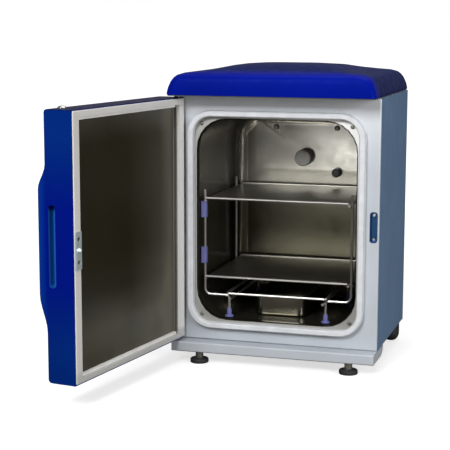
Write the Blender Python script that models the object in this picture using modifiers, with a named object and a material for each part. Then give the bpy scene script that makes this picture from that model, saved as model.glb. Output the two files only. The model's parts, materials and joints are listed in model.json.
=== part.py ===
"""Bench-top laboratory incubator, modelled with its door open.

Metres, +X to the right of someone facing the door, +Y to the back, +Z up.
The origin is the centre of the base cover's underside, at mid-width and mid-depth.
"""

import math

import bmesh
import bpy
from mathutils import Matrix

# ---- Driving dimensions -------------------------------------------------------------------

GAP = 0.0003  # between pieces that touch
SLIP = 0.0003  # radial clearance of a pin, bolt or plug in its hole

BODY_WIDTH = 0.422
BODY_DEPTH = 0.314  # from the front panel's face to the rear panel's face
SKIN = 0.002  # side, bottom and rear sheet
SHELL_BEND = 0.003  # outer radius of the folded bottom edges
PANEL_HEIGHT = 0.5044
PANEL_THICKNESS = 0.004
PANEL_EDGE = 0.0035  # rounding of the front panel's outer edge

COVER_WIDTH = 0.200
COVER_SETBACK = 0.004  # base cover behind the plinth's wings
COVER_THICKNESS = 0.002
COVER_CORNER = 0.008

PLINTH_PROJECTION = 0.0337  # in front of the front panel
PLINTH_DROP = 0.0210  # below the front panel
PLINTH_WING = 0.073  # behind the front panel's face
PLINTH_WING_CURVE = 0.030
PLINTH_WALL = 0.003

FOOT_DROP = 0.0250  # from the plinth's lower edge to the ground
FOOT_INSET = 0.0544  # foot centre to the side of the body
FOOT_FORWARD = 0.013  # foot centre in front of the front panel
FOOT_PAD_RADIUS = 0.019
FOOT_PAD_HEIGHT = 0.0095
FOOT_HUB_RADIUS = 0.0105
FOOT_COLLAR_RADIUS = 0.008
FOOT_THREAD_RADIUS = 0.005
FOOT_BOSS_RADIUS = 0.011
FOOT_BOSS_LENGTH = 0.0152
FOOT_RAISE = 0.005  # how far a foot screws up
FOOT_LOWER = 0.006  # and down
REAR_FOOT_RADIUS = 0.018
REAR_FOOT_TREAD_RADIUS = 0.004
REAR_FOOT_INSET_X = 0.0225
REAR_FOOT_INSET_Y = 0.0195

LID_OVERHANG = 0.063  # in front of the front panel
LID_WALL = 0.003
LID_CORNER = 0.010
LID_PLATE_INSET = 0.0015
LID_PLATE_THICKNESS = 0.002
# height, then how far the cover has drawn in at the front, sides and back, and its corner radius
LID_PROFILE = (
    (0.000, 0.000, 0.000, 0.000, LID_CORNER),
    (0.004, 0.000, 0.000, 0.000, LID_CORNER),
    (0.014, 0.0003, 0.0022, 0.0015, 0.011),
    (0.026, 0.0012, 0.0065, 0.0055, 0.014),
    (0.034, 0.003, 0.0115, 0.011, 0.018),
    (0.039, 0.0065, 0.0165, 0.017, 0.022),
    (0.043, 0.015, 0.028, 0.027, 0.026),
    (0.0455, 0.032, 0.050, 0.044, 0.030),
    (0.050, 0.058, 0.078, 0.078, 0.034),
    (0.056, 0.092, 0.106, 0.112, 0.036),
    (0.059, 0.134, 0.144, 0.146, 0.036),
)

MOUTH_SIDE = 0.044  # mouth's side to the side of the body
MOUTH_ABOVE = 0.0459  # mouth's top to the front panel's top
MOUTH_CORNER = 0.064
MOUTH_BASE = 0.0425  # above the front panel's lower edge
BACK_SPACE = 0.036  # chamber's rear wall to the rear panel's face
CHAMBER_FLARE = 0.004  # the chamber is this much smaller than its mouth, all round
CHAMBER_FLARE_DEPTH = 0.008
CHAMBER_REAR_CURVE = 0.025
CHAMBER_SHEET = 0.0015
CUTOUT_MARGIN = 0.008  # front panel cut-out outside the mouth
FLANGE_SCREW_INSET_X = 0.012
FLANGE_SCREW_INSET_Z = 0.011

SEAL_MARGIN = 0.0035  # seal's inner edge outside the mouth
SEAL_WIDTH = 0.013
SEAL_CORNER = 0.0335  # corner radius of the mouth's outline that the seal's corners run parallel to
SEAL_LIP_HEIGHT = 0.0022
SEAL_LIP_WIDTH = 0.001
SEAL_DRAFT = 0.0005

HEATER_SPACE = 0.0023  # between the chamber and the insulation
HEATER_SIDE_MARGIN = 0.003  # inside the flat part of the chamber's floor
HEATER_END_MARGIN = 0.039
HEATER_THICKNESS = 0.0015

DOOR_OVERLAP = 0.002  # door wider than the body
DOOR_SHORT = 0.0044  # door's top below the front panel's top
DOOR_THICKNESS = 0.0625
DOOR_LIFT = 0.004  # door's lower edge above the front panel's lower edge
DOOR_GAP = 0.003  # closed door's frame to the front panel
DOOR_OPEN_ANGLE = 98.8
DOOR_WALL = 0.003
DOOR_EDGE = 0.006  # rounding of the door's outer edges
PIVOT_INSET = 0.0091  # hinge axis from the door's hinge edge
PIVOT_DEPTH = 0.0114  # hinge axis from the door frame's face
PIN_RADIUS = 0.004
PIN_GRIP = 0.015  # length of a pin inside the door
PIN_COLLAR_RADIUS = 0.007
HINGE_BLOCK_WIDTH = 0.026
HINGE_BLOCK_HEIGHT = 0.022

FRAME_SIDE = 0.021  # visible width of the door's frame
FRAME_TOP = 0.014
FRAME_BOTTOM = 0.0115
FRAME_REVEAL = 0.002  # how much of the shell's rim shows round the frame
FRAME_LIP = 0.0022
FRAME_THICKNESS = 0.006
FRAME_EDGE = 0.002
TRIM_WIDTH = 0.005
RECESS_DEPTH = 0.012  # inner panel's face behind the frame's face
DOOR_PANEL_THICKNESS = 0.0015

BULGE = 0.0182  # how far the grip stands out of the door's outer face
BULGE_LOW = 0.162  # its full part, above the door's lower edge
BULGE_HIGH = 0.352
BULGE_RISE_LOW = 0.068
BULGE_RISE_HIGH = 0.046
BULGE_WIDTH = 0.070  # full width from the free edge
BULGE_FADE = 0.095  # width over which it fades into the door
BULGE_EDGE = 0.012
SLOT_WIDTH = 0.015
SLOT_HEIGHT = 0.150
SLOT_BASE = 0.176  # above the door's lower edge
SLOT_DEPTH = 0.016
SLOT_FROM_FRAME = 0.0395
SLOT_WALL = 0.008

LATCH_HEIGHT = 0.246  # latch centre above the door's lower edge
LATCH_FROM_EDGE = 0.013
LATCH_PLATE_WIDTH = 0.0195
LATCH_PLATE_SHIFT = 0.001  # plate's centre nearer the free edge than the bolt
LATCH_PLATE_LENGTH = 0.069
LATCH_PLATE_THICKNESS = 0.0015
LATCH_SCREW_SPACING = 0.042
LATCH_SCREW_HOLE = 0.0040
BOLT_RADIUS = 0.005
BOLT_REACH = 0.0065  # in front of the frame's face
BOLT_TRAVEL = 0.005
STRIKE_WIDTH = 0.016
STRIKE_LENGTH = 0.062
STRIKE_CORNER = 0.006
STRIKE_DEPTH = 0.0055
STRIKE_WALL = 0.0016
STRIKE_SCREW_RADIUS = 0.0033

PLUG_FROM_EDGE = 0.044
PLUG_FROM_FRAME = 0.049
PLUG_RADIUS = 0.0088
PLUG_CLEARANCE = 0.0006  # under the top plate when the door is shut
PLUG_STEM_RADIUS = 0.003

WIRE_RADIUS = 0.00275
RACK_CLEARANCE = 0.0095  # posts' centres to the chamber's side
RACK_FRONT = 0.018  # front posts behind the front panel's face
RACK_REAR = 0.033  # rear posts in front of the chamber's rear wall
RACK_BEND = 0.012
RACK_LEG_BEND = 0.006
POST_TOP = 0.264  # the heights that follow are above the chamber's floor
UPPER_RAIL = 0.2431
LOWER_RAIL = 0.0809
RACK_KNEE = 0.0458
RACK_STEP = 0.0519  # legs' centres inside the posts' centres
BASE_RAIL = 0.0400
RAIL_OVERHANG = 0.011  # rails run on past the posts
POST_WELD = 0.0043  # a rail's centre inside its post's centre
CRADLE_SPREAD = 0.0029  # cradle's sides outside the legs' centres
CRADLE_OVERHANG = 0.010
RACK_FOOT_HEIGHT = 0.019
RACK_FOOT_RADIUS = 0.0048
RACK_FOOT_FLANGE = 0.0090
RACK_FOOT_FLANGE_HEIGHT = 0.003
CLIP_HEIGHTS = (0.128, 0.223)
CLIP_LENGTH = 0.033
CLIP_WIDTH = 0.012
CLIP_SHIFT = 0.002  # clip's centre nearer the chamber's wall than its post
CLIP_DEPTH = 0.013

SHELF_INSET = 0.0007  # shelf's side inside the rails' centres
SHELF_REAR = 0.016  # rear edge's centre in front of the chamber's rear wall
SHELF_FRONT = 0.003  # front edge's centre behind the front panel's face
SHELF_SHEET = 0.001
SHELF_ROLL_RADIUS = 0.0023

TRAY_X = -0.003  # tray's centre
TRAY_MARGIN = 0.0456  # tray's sides inside the legs' centres
TRAY_SHORT = 0.077  # tray shorter than the rack
TRAY_HEIGHT = 0.045
TRAY_SHEET = 0.001
TRAY_CORNER = 0.020
TRAY_FRONT = 0.052

PORT_X = -0.006  # port plug's centre
PORT_ABOVE_RAIL = 0.0659  # above the upper rail's centre
PORT_PLUG_RADIUS = 0.018
PORT_PLUG_REACH = 0.028  # into the chamber
PORT_TUBE_WALL = 0.0032
SENSOR_X = 0.066
SENSOR_ABOVE_RAIL = 0.0339
SENSOR_RADIUS = 0.0098
SENSOR_LENGTH = 0.017
SENSOR_STEM_RADIUS = 0.004
SENSOR_STEM_LENGTH = 0.014
WALL_BOLT_SPACING = 0.137
WALL_BOLT_HEIGHT = 0.374  # above the chamber's floor
WALL_BOLT_RADIUS = 0.0062
SCREW_RADIUS = 0.0042

INLET_FROM_SIDE = 0.061  # inlet's centre to the side of the body
INLET_HEIGHT = 0.070
INLET_WIDTH = 0.030
INLET_TALL = 0.022
INLET_DEPTH = 0.022
INLET_FLANGE = 0.004
INLET_PIN_SPACING = 0.007
SWITCH_SPACING = 0.045  # switch's centre to the inlet's centre
SWITCH_WIDTH = 0.014
SWITCH_TALL = 0.022
SWITCH_DEPTH = 0.012
SWITCH_PROUD = 0.002
SWITCH_TILT = 8.0
GAS_FROM_SIDE = 0.061
GAS_RADIUS = 0.004
GAS_BARB_LENGTH = 0.018
GAS_STEM_LENGTH = 0.016
VENT_COUNT = 6
VENT_PITCH = 0.010
VENT_WIDTH = 0.070
VENT_HEIGHT = 0.003
VENT_BASE = 0.020  # lowest vent above the cover of the base

FASCIA_WIDTH = 0.190
FASCIA_HEIGHT = 0.062
FASCIA_THICKNESS = 0.003
FASCIA_FROM_HINGE = 0.075
FASCIA_FROM_TOP = 0.030
FASCIA_CORNER = 0.010
DISPLAY_WIDTH = 0.066
DISPLAY_HEIGHT = 0.030
DISPLAY_FROM_LEFT = 0.016
KEY_COUNT = 3
KEY_PITCH = 0.026
KEY_RADIUS = 0.008
KEY_PROUD = 0.0012
KEY_TRAVEL = 0.0010
KEY_FROM_RIGHT = 0.022

BOARD_WIDTH = 0.160
BOARD_DEPTH = 0.110
BOARD_THICKNESS = 0.0016
BOARD_LIFT = 0.008
BOARD_X = -0.080
BOARD_Y = 0.010
STANDOFF_RADIUS = 0.004
STANDOFF_INSET = 0.008
RELAY_HEIGHT = 0.018
SOCKET_HEIGHT = 0.010
CHIP_HEIGHT = 0.003
SUPPLY_WIDTH = 0.110
SUPPLY_DEPTH = 0.080
SUPPLY_HEIGHT = 0.034
SUPPLY_X = 0.080

CORNER_STEPS = 6
ROUND_STEPS = 24
SMALL_ROUND_STEPS = 14
REACH = 0.010  # how far a cutter runs past what it cuts

# ---- Places worked out from them ----------------------------------------------------------

MOUTH_WIDTH = BODY_WIDTH - 2 * MOUTH_SIDE
MOUTH_HEIGHT = PANEL_HEIGHT - MOUTH_BASE - MOUTH_ABOVE
CHAMBER_DEPTH = BODY_DEPTH - BACK_SPACE  # from the front panel's face to the chamber's rear wall
COVER_DEPTH = BODY_DEPTH - 2 * (PLINTH_WING + COVER_SETBACK)
HEATER_WIDTH = MOUTH_WIDTH - 2 * (MOUTH_CORNER + HEATER_SIDE_MARGIN)
HEATER_DEPTH = CHAMBER_DEPTH - 2 * HEATER_END_MARGIN
DOOR_WIDTH = BODY_WIDTH + DOOR_OVERLAP
DOOR_HEIGHT = PANEL_HEIGHT - DOOR_LIFT - DOOR_SHORT
RACK_HALF_WIDTH = MOUTH_WIDTH / 2 - CHAMBER_FLARE - RACK_CLEARANCE  # to the posts' centres
RACK_LEG_HALF_WIDTH = RACK_HALF_WIDTH - RACK_STEP
CRADLE_HALF_WIDTH = RACK_LEG_HALF_WIDTH + CRADLE_SPREAD
RACK_DEPTH = CHAMBER_DEPTH - RACK_FRONT - RACK_REAR  # front posts to rear posts
SHELF_WIDTH = 2 * (RACK_HALF_WIDTH - POST_WELD - SHELF_INSET)
SHELF_DEPTH = CHAMBER_DEPTH - SHELF_FRONT - SHELF_REAR  # between the centres of its rolled edges
TRAY_DEPTH = RACK_DEPTH - TRAY_SHORT
TRAY_WIDTH = 2 * (RACK_LEG_HALF_WIDTH - TRAY_MARGIN)
PORT_HEIGHT = UPPER_RAIL + PORT_ABOVE_RAIL  # above the chamber's floor, as is the next height
SENSOR_HEIGHT = UPPER_RAIL + SENSOR_ABOVE_RAIL

SIDE_X = BODY_WIDTH / 2
INLET_X = SIDE_X - INLET_FROM_SIDE
SWITCH_X = INLET_X - SWITCH_SPACING
GAS_X = GAS_FROM_SIDE - SIDE_X
FRONT_Y = -BODY_DEPTH / 2
BACK_Y = BODY_DEPTH / 2
SHELL_BASE = COVER_THICKNESS + GAP
PANEL_BASE = SHELL_BASE + 0.0027
PANEL_TOP = PANEL_BASE + PANEL_HEIGHT
SHELL_FRONT = FRONT_Y + PANEL_THICKNESS + GAP
SHELL_BACK = BACK_Y - SKIN - GAP
PLINTH_BASE = PANEL_BASE - PLINTH_DROP
GROUND = PLINTH_BASE - FOOT_DROP
PLATE_BASE = PANEL_TOP + GAP
LID_BASE = PLATE_BASE + LID_PLATE_THICKNESS + GAP

MOUTH_Z = PANEL_BASE + MOUTH_BASE + MOUTH_HEIGHT / 2
CHAMBER_BACK = FRONT_Y + CHAMBER_DEPTH
FLOOR_Z = PANEL_BASE + MOUTH_BASE + CHAMBER_FLARE
LINER_BACK = CHAMBER_BACK + CHAMBER_SHEET
PORT_Z = FLOOR_Z + PORT_HEIGHT
SENSOR_Z = FLOOR_Z + SENSOR_HEIGHT
WALL_BOLT_Z = FLOOR_Z + WALL_BOLT_HEIGHT

DOOR_BASE = PANEL_BASE + DOOR_LIFT
DOOR_TOP = DOOR_BASE + DOOR_HEIGHT
PIVOT_X = -SIDE_X + PIVOT_INSET
PIVOT_Y = FRONT_Y - DOOR_GAP - PIVOT_DEPTH
LATCH_Z = DOOR_BASE + LATCH_HEIGHT
LATCH_U = DOOR_WIDTH - LATCH_FROM_EDGE
STRIKE_X = -SIDE_X + LATCH_U
PLUG_RISE = PLATE_BASE - DOOR_TOP - GAP - PLUG_CLEARANCE
SHELL_START = FRAME_LIP + GAP  # door shell's inner rim, behind the frame's face
TRIM_START = FRAME_THICKNESS + GAP
FILLING_START = RECESS_DEPTH + DOOR_PANEL_THICKNESS + GAP

# ---- Scene and materials ------------------------------------------------------------------

for leftover in list(bpy.data.objects):
    bpy.data.objects.remove(leftover)

PARTS = bpy.data.collections.new("laboratory_incubator")
CUTTERS = bpy.data.collections.new("cutters")
for made in (PARTS, CUTTERS):
    bpy.context.scene.collection.children.link(made)
CUTTERS.hide_render = True


def material(name, colour, roughness, metallic=0.0):
    made = bpy.data.materials.new(name)
    made.use_nodes = True
    shader = made.node_tree.nodes["Principled BSDF"]
    shader.inputs["Base Color"].default_value = (*colour, 1.0)
    shader.inputs["Roughness"].default_value = roughness
    shader.inputs["Metallic"].default_value = metallic
    made.diffuse_color = (*colour, 1.0)
    return made


SIDE_PAINT = material("side_paint", (0.115, 0.165, 0.27), 0.45)
PANEL_PAINT = material("panel_paint", (0.47, 0.47, 0.47), 0.5)
BLUE_MOULDING = material("blue_moulding", (0.004, 0.02, 0.36), 0.3)
FRAME_PAINT = material("frame_paint", (0.52, 0.52, 0.49), 0.5)
STEEL = material("steel", (0.42, 0.41, 0.38), 0.22, 1.0)
BRIGHT_STEEL = material("bright_steel", (0.62, 0.62, 0.62), 0.2, 1.0)
DARK_PANEL = material("dark_panel", (0.02, 0.018, 0.012), 0.3, 0.6)
SEAL_SILICONE = material("seal_silicone", (0.72, 0.73, 0.75), 0.6)
BLUE_SILICONE = material("blue_silicone", (0.06, 0.06, 0.42), 0.5)
GREY_SILICONE = material("grey_silicone", (0.25, 0.25, 0.24), 0.6)
BLACK_RUBBER = material("black_rubber", (0.012, 0.012, 0.014), 0.7)
BLACK_PLASTIC = material("black_plastic", (0.015, 0.015, 0.017), 0.45)
INSULATION = material("insulation", (0.72, 0.68, 0.5), 0.95)
HEATER = material("heater", (0.45, 0.08, 0.03), 0.7)
BOARD = material("board", (0.01, 0.12, 0.04), 0.5)
STRIKE_STEEL = material("strike_steel", (0.035, 0.09, 0.2), 0.35, 0.7)
FASCIA_FILM = material("fascia_film", (0.38, 0.39, 0.40), 0.4)
DISPLAY_GLASS = material("display_glass", (0.01, 0.012, 0.012), 0.1)
KEY_FILM = material("key_film", (0.10, 0.13, 0.40), 0.45)

# ---- Modelling helpers --------------------------------------------------------------------


def put(name, mesh, finish=None, location=(0, 0, 0), parent=None, group=PARTS):
    """An object of this mesh, shaded smooth except at its sharp edges."""
    made = bpy.data.objects.new(name, mesh)
    group.objects.link(made)
    made.location = location
    made.parent = parent
    if finish:
        mesh.materials.append(finish)
    if mesh.polygons:
        mesh.shade_smooth()
        mesh.set_sharp_from_angle(angle=math.radians(32))
    return made


def as_cutter(made):
    made.hide_render = True
    made.display_type = "WIRE"
    for group in list(made.users_collection):
        group.objects.unlink(made)
    CUTTERS.objects.link(made)
    return made


def mesh_of(bm, name):
    bmesh.ops.recalc_face_normals(bm, faces=bm.faces)
    mesh = bpy.data.meshes.new(name)
    bm.to_mesh(mesh)
    bm.free()
    return mesh


def rounded_rect(width, height, radius, centre=(0.0, 0.0), steps=CORNER_STEPS):
    """Points of a rectangle with round corners, anticlockwise, the same count at any size."""
    points = []
    for corner in range(4):
        side = 1 if corner in (0, 3) else -1
        end = 1 if corner in (0, 1) else -1
        for step in range(steps + 1):
            turn = math.pi / 2 * (corner + step / steps)
            across = side * (width / 2 - radius) + radius * math.cos(turn)
            along = end * (height / 2 - radius) + radius * math.sin(turn)
            points.append((centre[0] + across, centre[1] + along))
    return points


def at_y(points, y):
    return [(x, y, z) for x, z in points]


def at_z(points, z):
    return [(x, y, z) for x, y in points]


def at_x(points, x):
    return [(x, y, z) for y, z in points]


def loft(name, rings, ring_shaped=False, capped=True):
    """A surface through rings of equal length: a closed loop of them, or a run with its ends capped."""
    bm = bmesh.new()
    rows = [[bm.verts.new(point) for point in ring] for ring in rings]
    pairs = list(zip(rows, rows[1:]))
    if ring_shaped:
        pairs.append((rows[-1], rows[0]))
    for first, second in pairs:
        for i in range(len(first)):
            j = (i + 1) % len(first)
            bm.faces.new((first[i], first[j], second[j], second[i]))
    if capped and not ring_shaped:
        bm.faces.new(rows[0])
        bm.faces.new(rows[-1])
    return mesh_of(bm, name)


def block(name, low, high, others=()):
    """A box from its corners, with any others in the same mesh."""
    bm = bmesh.new()
    for lo, hi in ((low, high), *others):
        size = [hi[i] - lo[i] for i in range(3)]
        middle = [(hi[i] + lo[i]) / 2 for i in range(3)]
        place = Matrix.Translation(middle) @ Matrix.Diagonal((*size, 1.0))
        bmesh.ops.create_cube(bm, size=1.0, matrix=place)
    return mesh_of(bm, name)


AIM = {
    "X": Matrix.Rotation(math.pi / 2, 4, "Y"),
    "Y": Matrix.Rotation(-math.pi / 2, 4, "X"),
    "Z": Matrix.Identity(4),
}


def rods(name, places, radius, start, end, axis="Z", steps=SMALL_ROUND_STEPS):
    """Cylinders along an axis, from start to end on it, at places given by the other two coordinates."""
    bm = bmesh.new()
    for a, b in places:
        middle = (start + end) / 2
        centre = {"X": (middle, a, b), "Y": (a, middle, b), "Z": (a, b, middle)}[axis]
        place = Matrix.Translation(centre) @ AIM[axis]
        bmesh.ops.create_cone(bm, cap_ends=True, segments=steps, radius1=radius,
                              radius2=radius, depth=abs(end - start), matrix=place)
    return mesh_of(bm, name)


def turned(name, profile, finish, location, axis="Z", parent=None, steps=ROUND_STEPS):
    """A profile of (radius, height), top to bottom down its outer side, spun about the object's own Z."""
    bm = bmesh.new()
    verts = [bm.verts.new((radius, 0.0, height)) for radius, height in profile]
    for first, second in zip(verts, verts[1:]):
        bm.edges.new((first, second))
    mesh = bpy.data.meshes.new(name)
    bm.to_mesh(mesh)
    bm.free()
    made = put(name, mesh, finish, location, parent)
    made.rotation_euler = AIM[axis].to_euler()
    screw = made.modifiers.new("Turn", "SCREW")
    screw.steps = steps
    screw.render_steps = steps
    screw.use_merge_vertices = True
    screw.merge_threshold = 0.00001
    screw.use_smooth_shade = True
    return made


def arc(centre, radii, start, end, steps):
    """Points on an ellipse's arc, angles in degrees."""
    points = []
    for step in range(steps + 1):
        turn = math.radians(start + (end - start) * step / steps)
        points.append((centre[0] + radii[0] * math.cos(turn), centre[1] + radii[1] * math.sin(turn)))
    return points


def boolean(target, tool, operation="DIFFERENCE"):
    modifier = target.modifiers.new(operation.title(), "BOOLEAN")
    modifier.operation = operation
    modifier.solver = "EXACT"
    modifier.object = tool


def cut(target, mesh, parent=None):
    boolean(target, as_cutter(put(mesh.name, mesh, parent=parent)))


def fuse(target, mesh, parent=None):
    boolean(target, as_cutter(put(mesh.name, mesh, parent=parent)), "UNION")


def bent(corners, radii, steps=4):
    """A wire's centre line through these corners, the inner ones rounded by bends of these radii."""
    line = [corners[0]]
    for before, corner, after, radius in zip(corners, corners[1:], corners[2:], radii):
        towards = [math.dist(before, corner), math.dist(corner, after)]
        back = [(before[i] - corner[i]) / towards[0] for i in range(3)]
        onward = [(after[i] - corner[i]) / towards[1] for i in range(3)]
        for step in range(steps + 1):
            turn = math.pi / 2 * step / steps
            a, b = radius * (1 - math.sin(turn)), radius * (1 - math.cos(turn))
            line.append(tuple(corner[i] + back[i] * a + onward[i] * b for i in range(3)))
    line.append(corners[-1])
    return line


def wire_mesh(name, line, cyclic=False):
    """The mesh of a round wire along a centre line, its end caps welded on."""
    curve = bpy.data.curves.new(name, "CURVE")
    curve.dimensions = "3D"
    curve.bevel_depth = WIRE_RADIUS
    curve.bevel_resolution = 2
    curve.use_fill_caps = True
    spline = curve.splines.new("POLY")
    spline.points.add(len(line) - 1)
    for point, place in zip(spline.points, line):
        point.co = (*place, 1.0)
    spline.use_cyclic_u = cyclic
    guide = bpy.data.objects.new(name, curve)
    PARTS.objects.link(guide)
    graph = bpy.context.evaluated_depsgraph_get()
    mesh = bpy.data.meshes.new_from_object(guide.evaluated_get(graph))
    bpy.data.objects.remove(guide)
    bm = bmesh.new()
    bm.from_mesh(mesh)
    bmesh.ops.remove_doubles(bm, verts=bm.verts, dist=0.00001)
    bmesh.ops.recalc_face_normals(bm, faces=bm.faces)
    bm.to_mesh(mesh)
    bm.free()
    mesh.name = name
    return mesh


# ---- Cabinet ------------------------------------------------------------------------------


def mouth_ring(offset, y, radius=None):
    """The chamber mouth's outline, grown by an offset."""
    corner = MOUTH_CORNER + offset if radius is None else radius
    outline = rounded_rect(MOUTH_WIDTH + 2 * offset, MOUTH_HEIGHT + 2 * offset, corner, (0, MOUTH_Z))
    return at_y(outline, y)


def make_cabinet_shell():
    """Side and bottom sheet folded from one piece, open at the front, back and top."""
    low, top = SHELL_BASE, PLATE_BASE - GAP
    inner = SIDE_X - SKIN
    bend = SHELL_BEND
    profile = [(-SIDE_X, top)]
    profile += arc((-SIDE_X + bend, low + bend), (bend, bend), 180, 270, 3)
    profile += arc((SIDE_X - bend, low + bend), (bend, bend), 270, 360, 3)
    profile += [(SIDE_X, top), (inner, top), (inner, low + SKIN), (-inner, low + SKIN), (-inner, top)]
    rings = [at_y(profile, SHELL_FRONT), at_y(profile, SHELL_BACK)]
    put("cabinet_shell", loft("cabinet_shell", rings), SIDE_PAINT)


def make_front_panel():
    centre = (0, PANEL_BASE + PANEL_HEIGHT / 2)
    rings = []
    for step in range(4):
        turn = math.pi / 2 * step / 3
        inset = PANEL_EDGE * (1 - math.sin(turn))
        y = FRONT_Y + PANEL_EDGE * (1 - math.cos(turn))
        outline = rounded_rect(BODY_WIDTH - 2 * inset, PANEL_HEIGHT - 2 * inset, PANEL_EDGE, centre)
        rings.append(at_y(outline, y))
    rings.append(at_y(rounded_rect(BODY_WIDTH, PANEL_HEIGHT, PANEL_EDGE, centre),
                      FRONT_Y + PANEL_THICKNESS))
    corner = SEAL_CORNER + CUTOUT_MARGIN
    rings.append(mouth_ring(CUTOUT_MARGIN, FRONT_Y + PANEL_THICKNESS, corner))
    rings.append(mouth_ring(CUTOUT_MARGIN, FRONT_Y, corner))
    panel = put("front_panel", loft("front_panel", rings, ring_shaped=True), PANEL_PAINT)
    window = rounded_rect(STRIKE_WIDTH, STRIKE_LENGTH, STRIKE_CORNER, (STRIKE_X, LATCH_Z), 5)
    cut(panel, loft("strike_window", [at_y(window, FRONT_Y - REACH), at_y(window, FRONT_Y + REACH)]))


def make_rear_panel():
    panel = put("rear_panel",
                block("rear_panel", (-SIDE_X, BACK_Y - SKIN, SHELL_BASE), (SIDE_X, BACK_Y, PLATE_BASE - GAP)),
                SIDE_PAINT)
    through = (BACK_Y - REACH, BACK_Y + REACH)
    tube = PORT_PLUG_RADIUS + SLIP + PORT_TUBE_WALL + SLIP
    cut(panel, rods("rear_port_hole", [(PORT_X, PORT_Z)], tube, *through, "Y", ROUND_STEPS))
    cut(panel, rods("rear_gas_hole", [(GAS_X, SHELL_BASE + INLET_HEIGHT)], GAS_RADIUS + SLIP, *through, "Y"))
    openings = []
    for x, width, height in ((INLET_X, INLET_WIDTH, INLET_TALL), (SWITCH_X, SWITCH_WIDTH, SWITCH_TALL)):
        wide, tall = width / 2 + SLIP, height / 2 + SLIP
        z = SHELL_BASE + INLET_HEIGHT
        openings.append(((x - wide, through[0], z - tall), (x + wide, through[1], z + tall)))
    for i in range(VENT_COUNT):
        z = SHELL_BASE + VENT_BASE + i * VENT_PITCH
        openings.append(((-VENT_WIDTH / 2, through[0], z), (VENT_WIDTH / 2, through[1], z + VENT_HEIGHT)))
    cut(panel, block("rear_openings", *openings[0], openings[1:]))


def make_base_cover():
    outline = rounded_rect(COVER_WIDTH, COVER_DEPTH, COVER_CORNER)
    rings = [at_z(outline, 0.0), at_z(outline, COVER_THICKNESS)]
    put("base_cover", loft("base_cover", rings), PANEL_PAINT)


def make_front_plinth():
    """The skirt that carries the front feet, with wings that run back along the sides and curve up."""
    front = FRONT_Y - PLINTH_PROJECTION
    wing = FRONT_Y + PLINTH_WING
    step = SHELL_FRONT
    top_front, top_back = PANEL_BASE - GAP, SHELL_BASE - GAP
    edge = 0.002

    curve, drop = PLINTH_WING_CURVE, top_back - PLINTH_BASE
    outline = [(front, PLINTH_BASE + edge), (front + edge, PLINTH_BASE)]
    outline += arc((wing - curve, top_back), (curve, drop), 270, 360, 6)
    outline += [(step, top_back), (step, top_front), (front + edge, top_front), (front, top_front - edge)]
    plinth = put("front_plinth", loft("front_plinth", [at_x(outline, -SIDE_X), at_x(outline, SIDE_X)]),
                 PANEL_PAINT)
    wall = PLINTH_WALL
    below = PLINTH_BASE - REACH
    hollow = [(front + wall, below), (wing + REACH, below), (wing + REACH, top_back - wall),
              (step - wall, top_back - wall), (step - wall, top_front - wall), (front + wall, top_front - wall)]
    cut(plinth, loft("plinth_hollow", [at_x(hollow, -SIDE_X + wall), at_x(hollow, SIDE_X - wall)]))
    boss_top = top_front - PLINTH_WALL / 2
    boss_base = top_front - PLINTH_WALL - FOOT_BOSS_LENGTH
    places = [(side * (SIDE_X - FOOT_INSET), FRONT_Y - FOOT_FORWARD) for side in (-1, 1)]
    fuse(plinth, rods("foot_bosses", places, FOOT_BOSS_RADIUS, boss_base, boss_top, steps=20))
    cut(plinth, rods("foot_bores", places, FOOT_THREAD_RADIUS + SLIP, boss_base - REACH,
                     boss_base + FOOT_BOSS_LENGTH + PLINTH_WALL / 3, steps=16))
    cut(plinth, rods("plinth_pin_hole", [(PIVOT_X, PIVOT_Y)], PIN_RADIUS + SLIP,
                     top_front - 2 * PLINTH_WALL, top_front + REACH, steps=16))


def make_front_feet():
    """Steel levelling screws in rubber pads."""
    pad_top = GROUND + FOOT_PAD_HEIGHT
    boss_base = PANEL_BASE - GAP - PLINTH_WALL - FOOT_BOSS_LENGTH
    thread_top = boss_base + FOOT_BOSS_LENGTH + PLINTH_WALL / 3 - FOOT_RAISE - GAP
    collar_top = boss_base - FOOT_RAISE - GAP
    socket = 0.004
    thread = FOOT_THREAD_RADIUS
    for side, word in ((-1, "left"), (1, "right")):
        place = (side * (SIDE_X - FOOT_INSET), FRONT_Y - FOOT_FORWARD, 0)
        stem = [(0, thread_top), (thread - 0.001, thread_top), (thread, thread_top - 0.001),
                (thread, collar_top), (FOOT_COLLAR_RADIUS - 0.001, collar_top),
                (FOOT_COLLAR_RADIUS, collar_top - 0.001), (FOOT_COLLAR_RADIUS, pad_top + 0.0018),
                (thread, pad_top + 0.0018), (thread, pad_top - socket + GAP), (0, pad_top - socket + GAP)]
        turned(f"foot_stem_front_{word}", stem, BRIGHT_STEEL, place, steps=20)
        hub = FOOT_HUB_RADIUS
        pad = [(0, pad_top - socket), (thread + SLIP, pad_top - socket), (thread + SLIP, pad_top + 0.0015),
               (hub, pad_top + 0.0015), (hub + 0.0015, pad_top)]
        pad += arc((FOOT_PAD_RADIUS - 0.003, pad_top - 0.003), (0.003, 0.003), 90, 0, 3)
        pad += arc((FOOT_PAD_RADIUS - 0.002, GROUND + 0.002), (0.002, 0.002), 0, -90, 2)
        pad += [(0, GROUND)]
        turned(f"foot_pad_front_{word}", pad, BLACK_RUBBER, place, steps=28)


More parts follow.
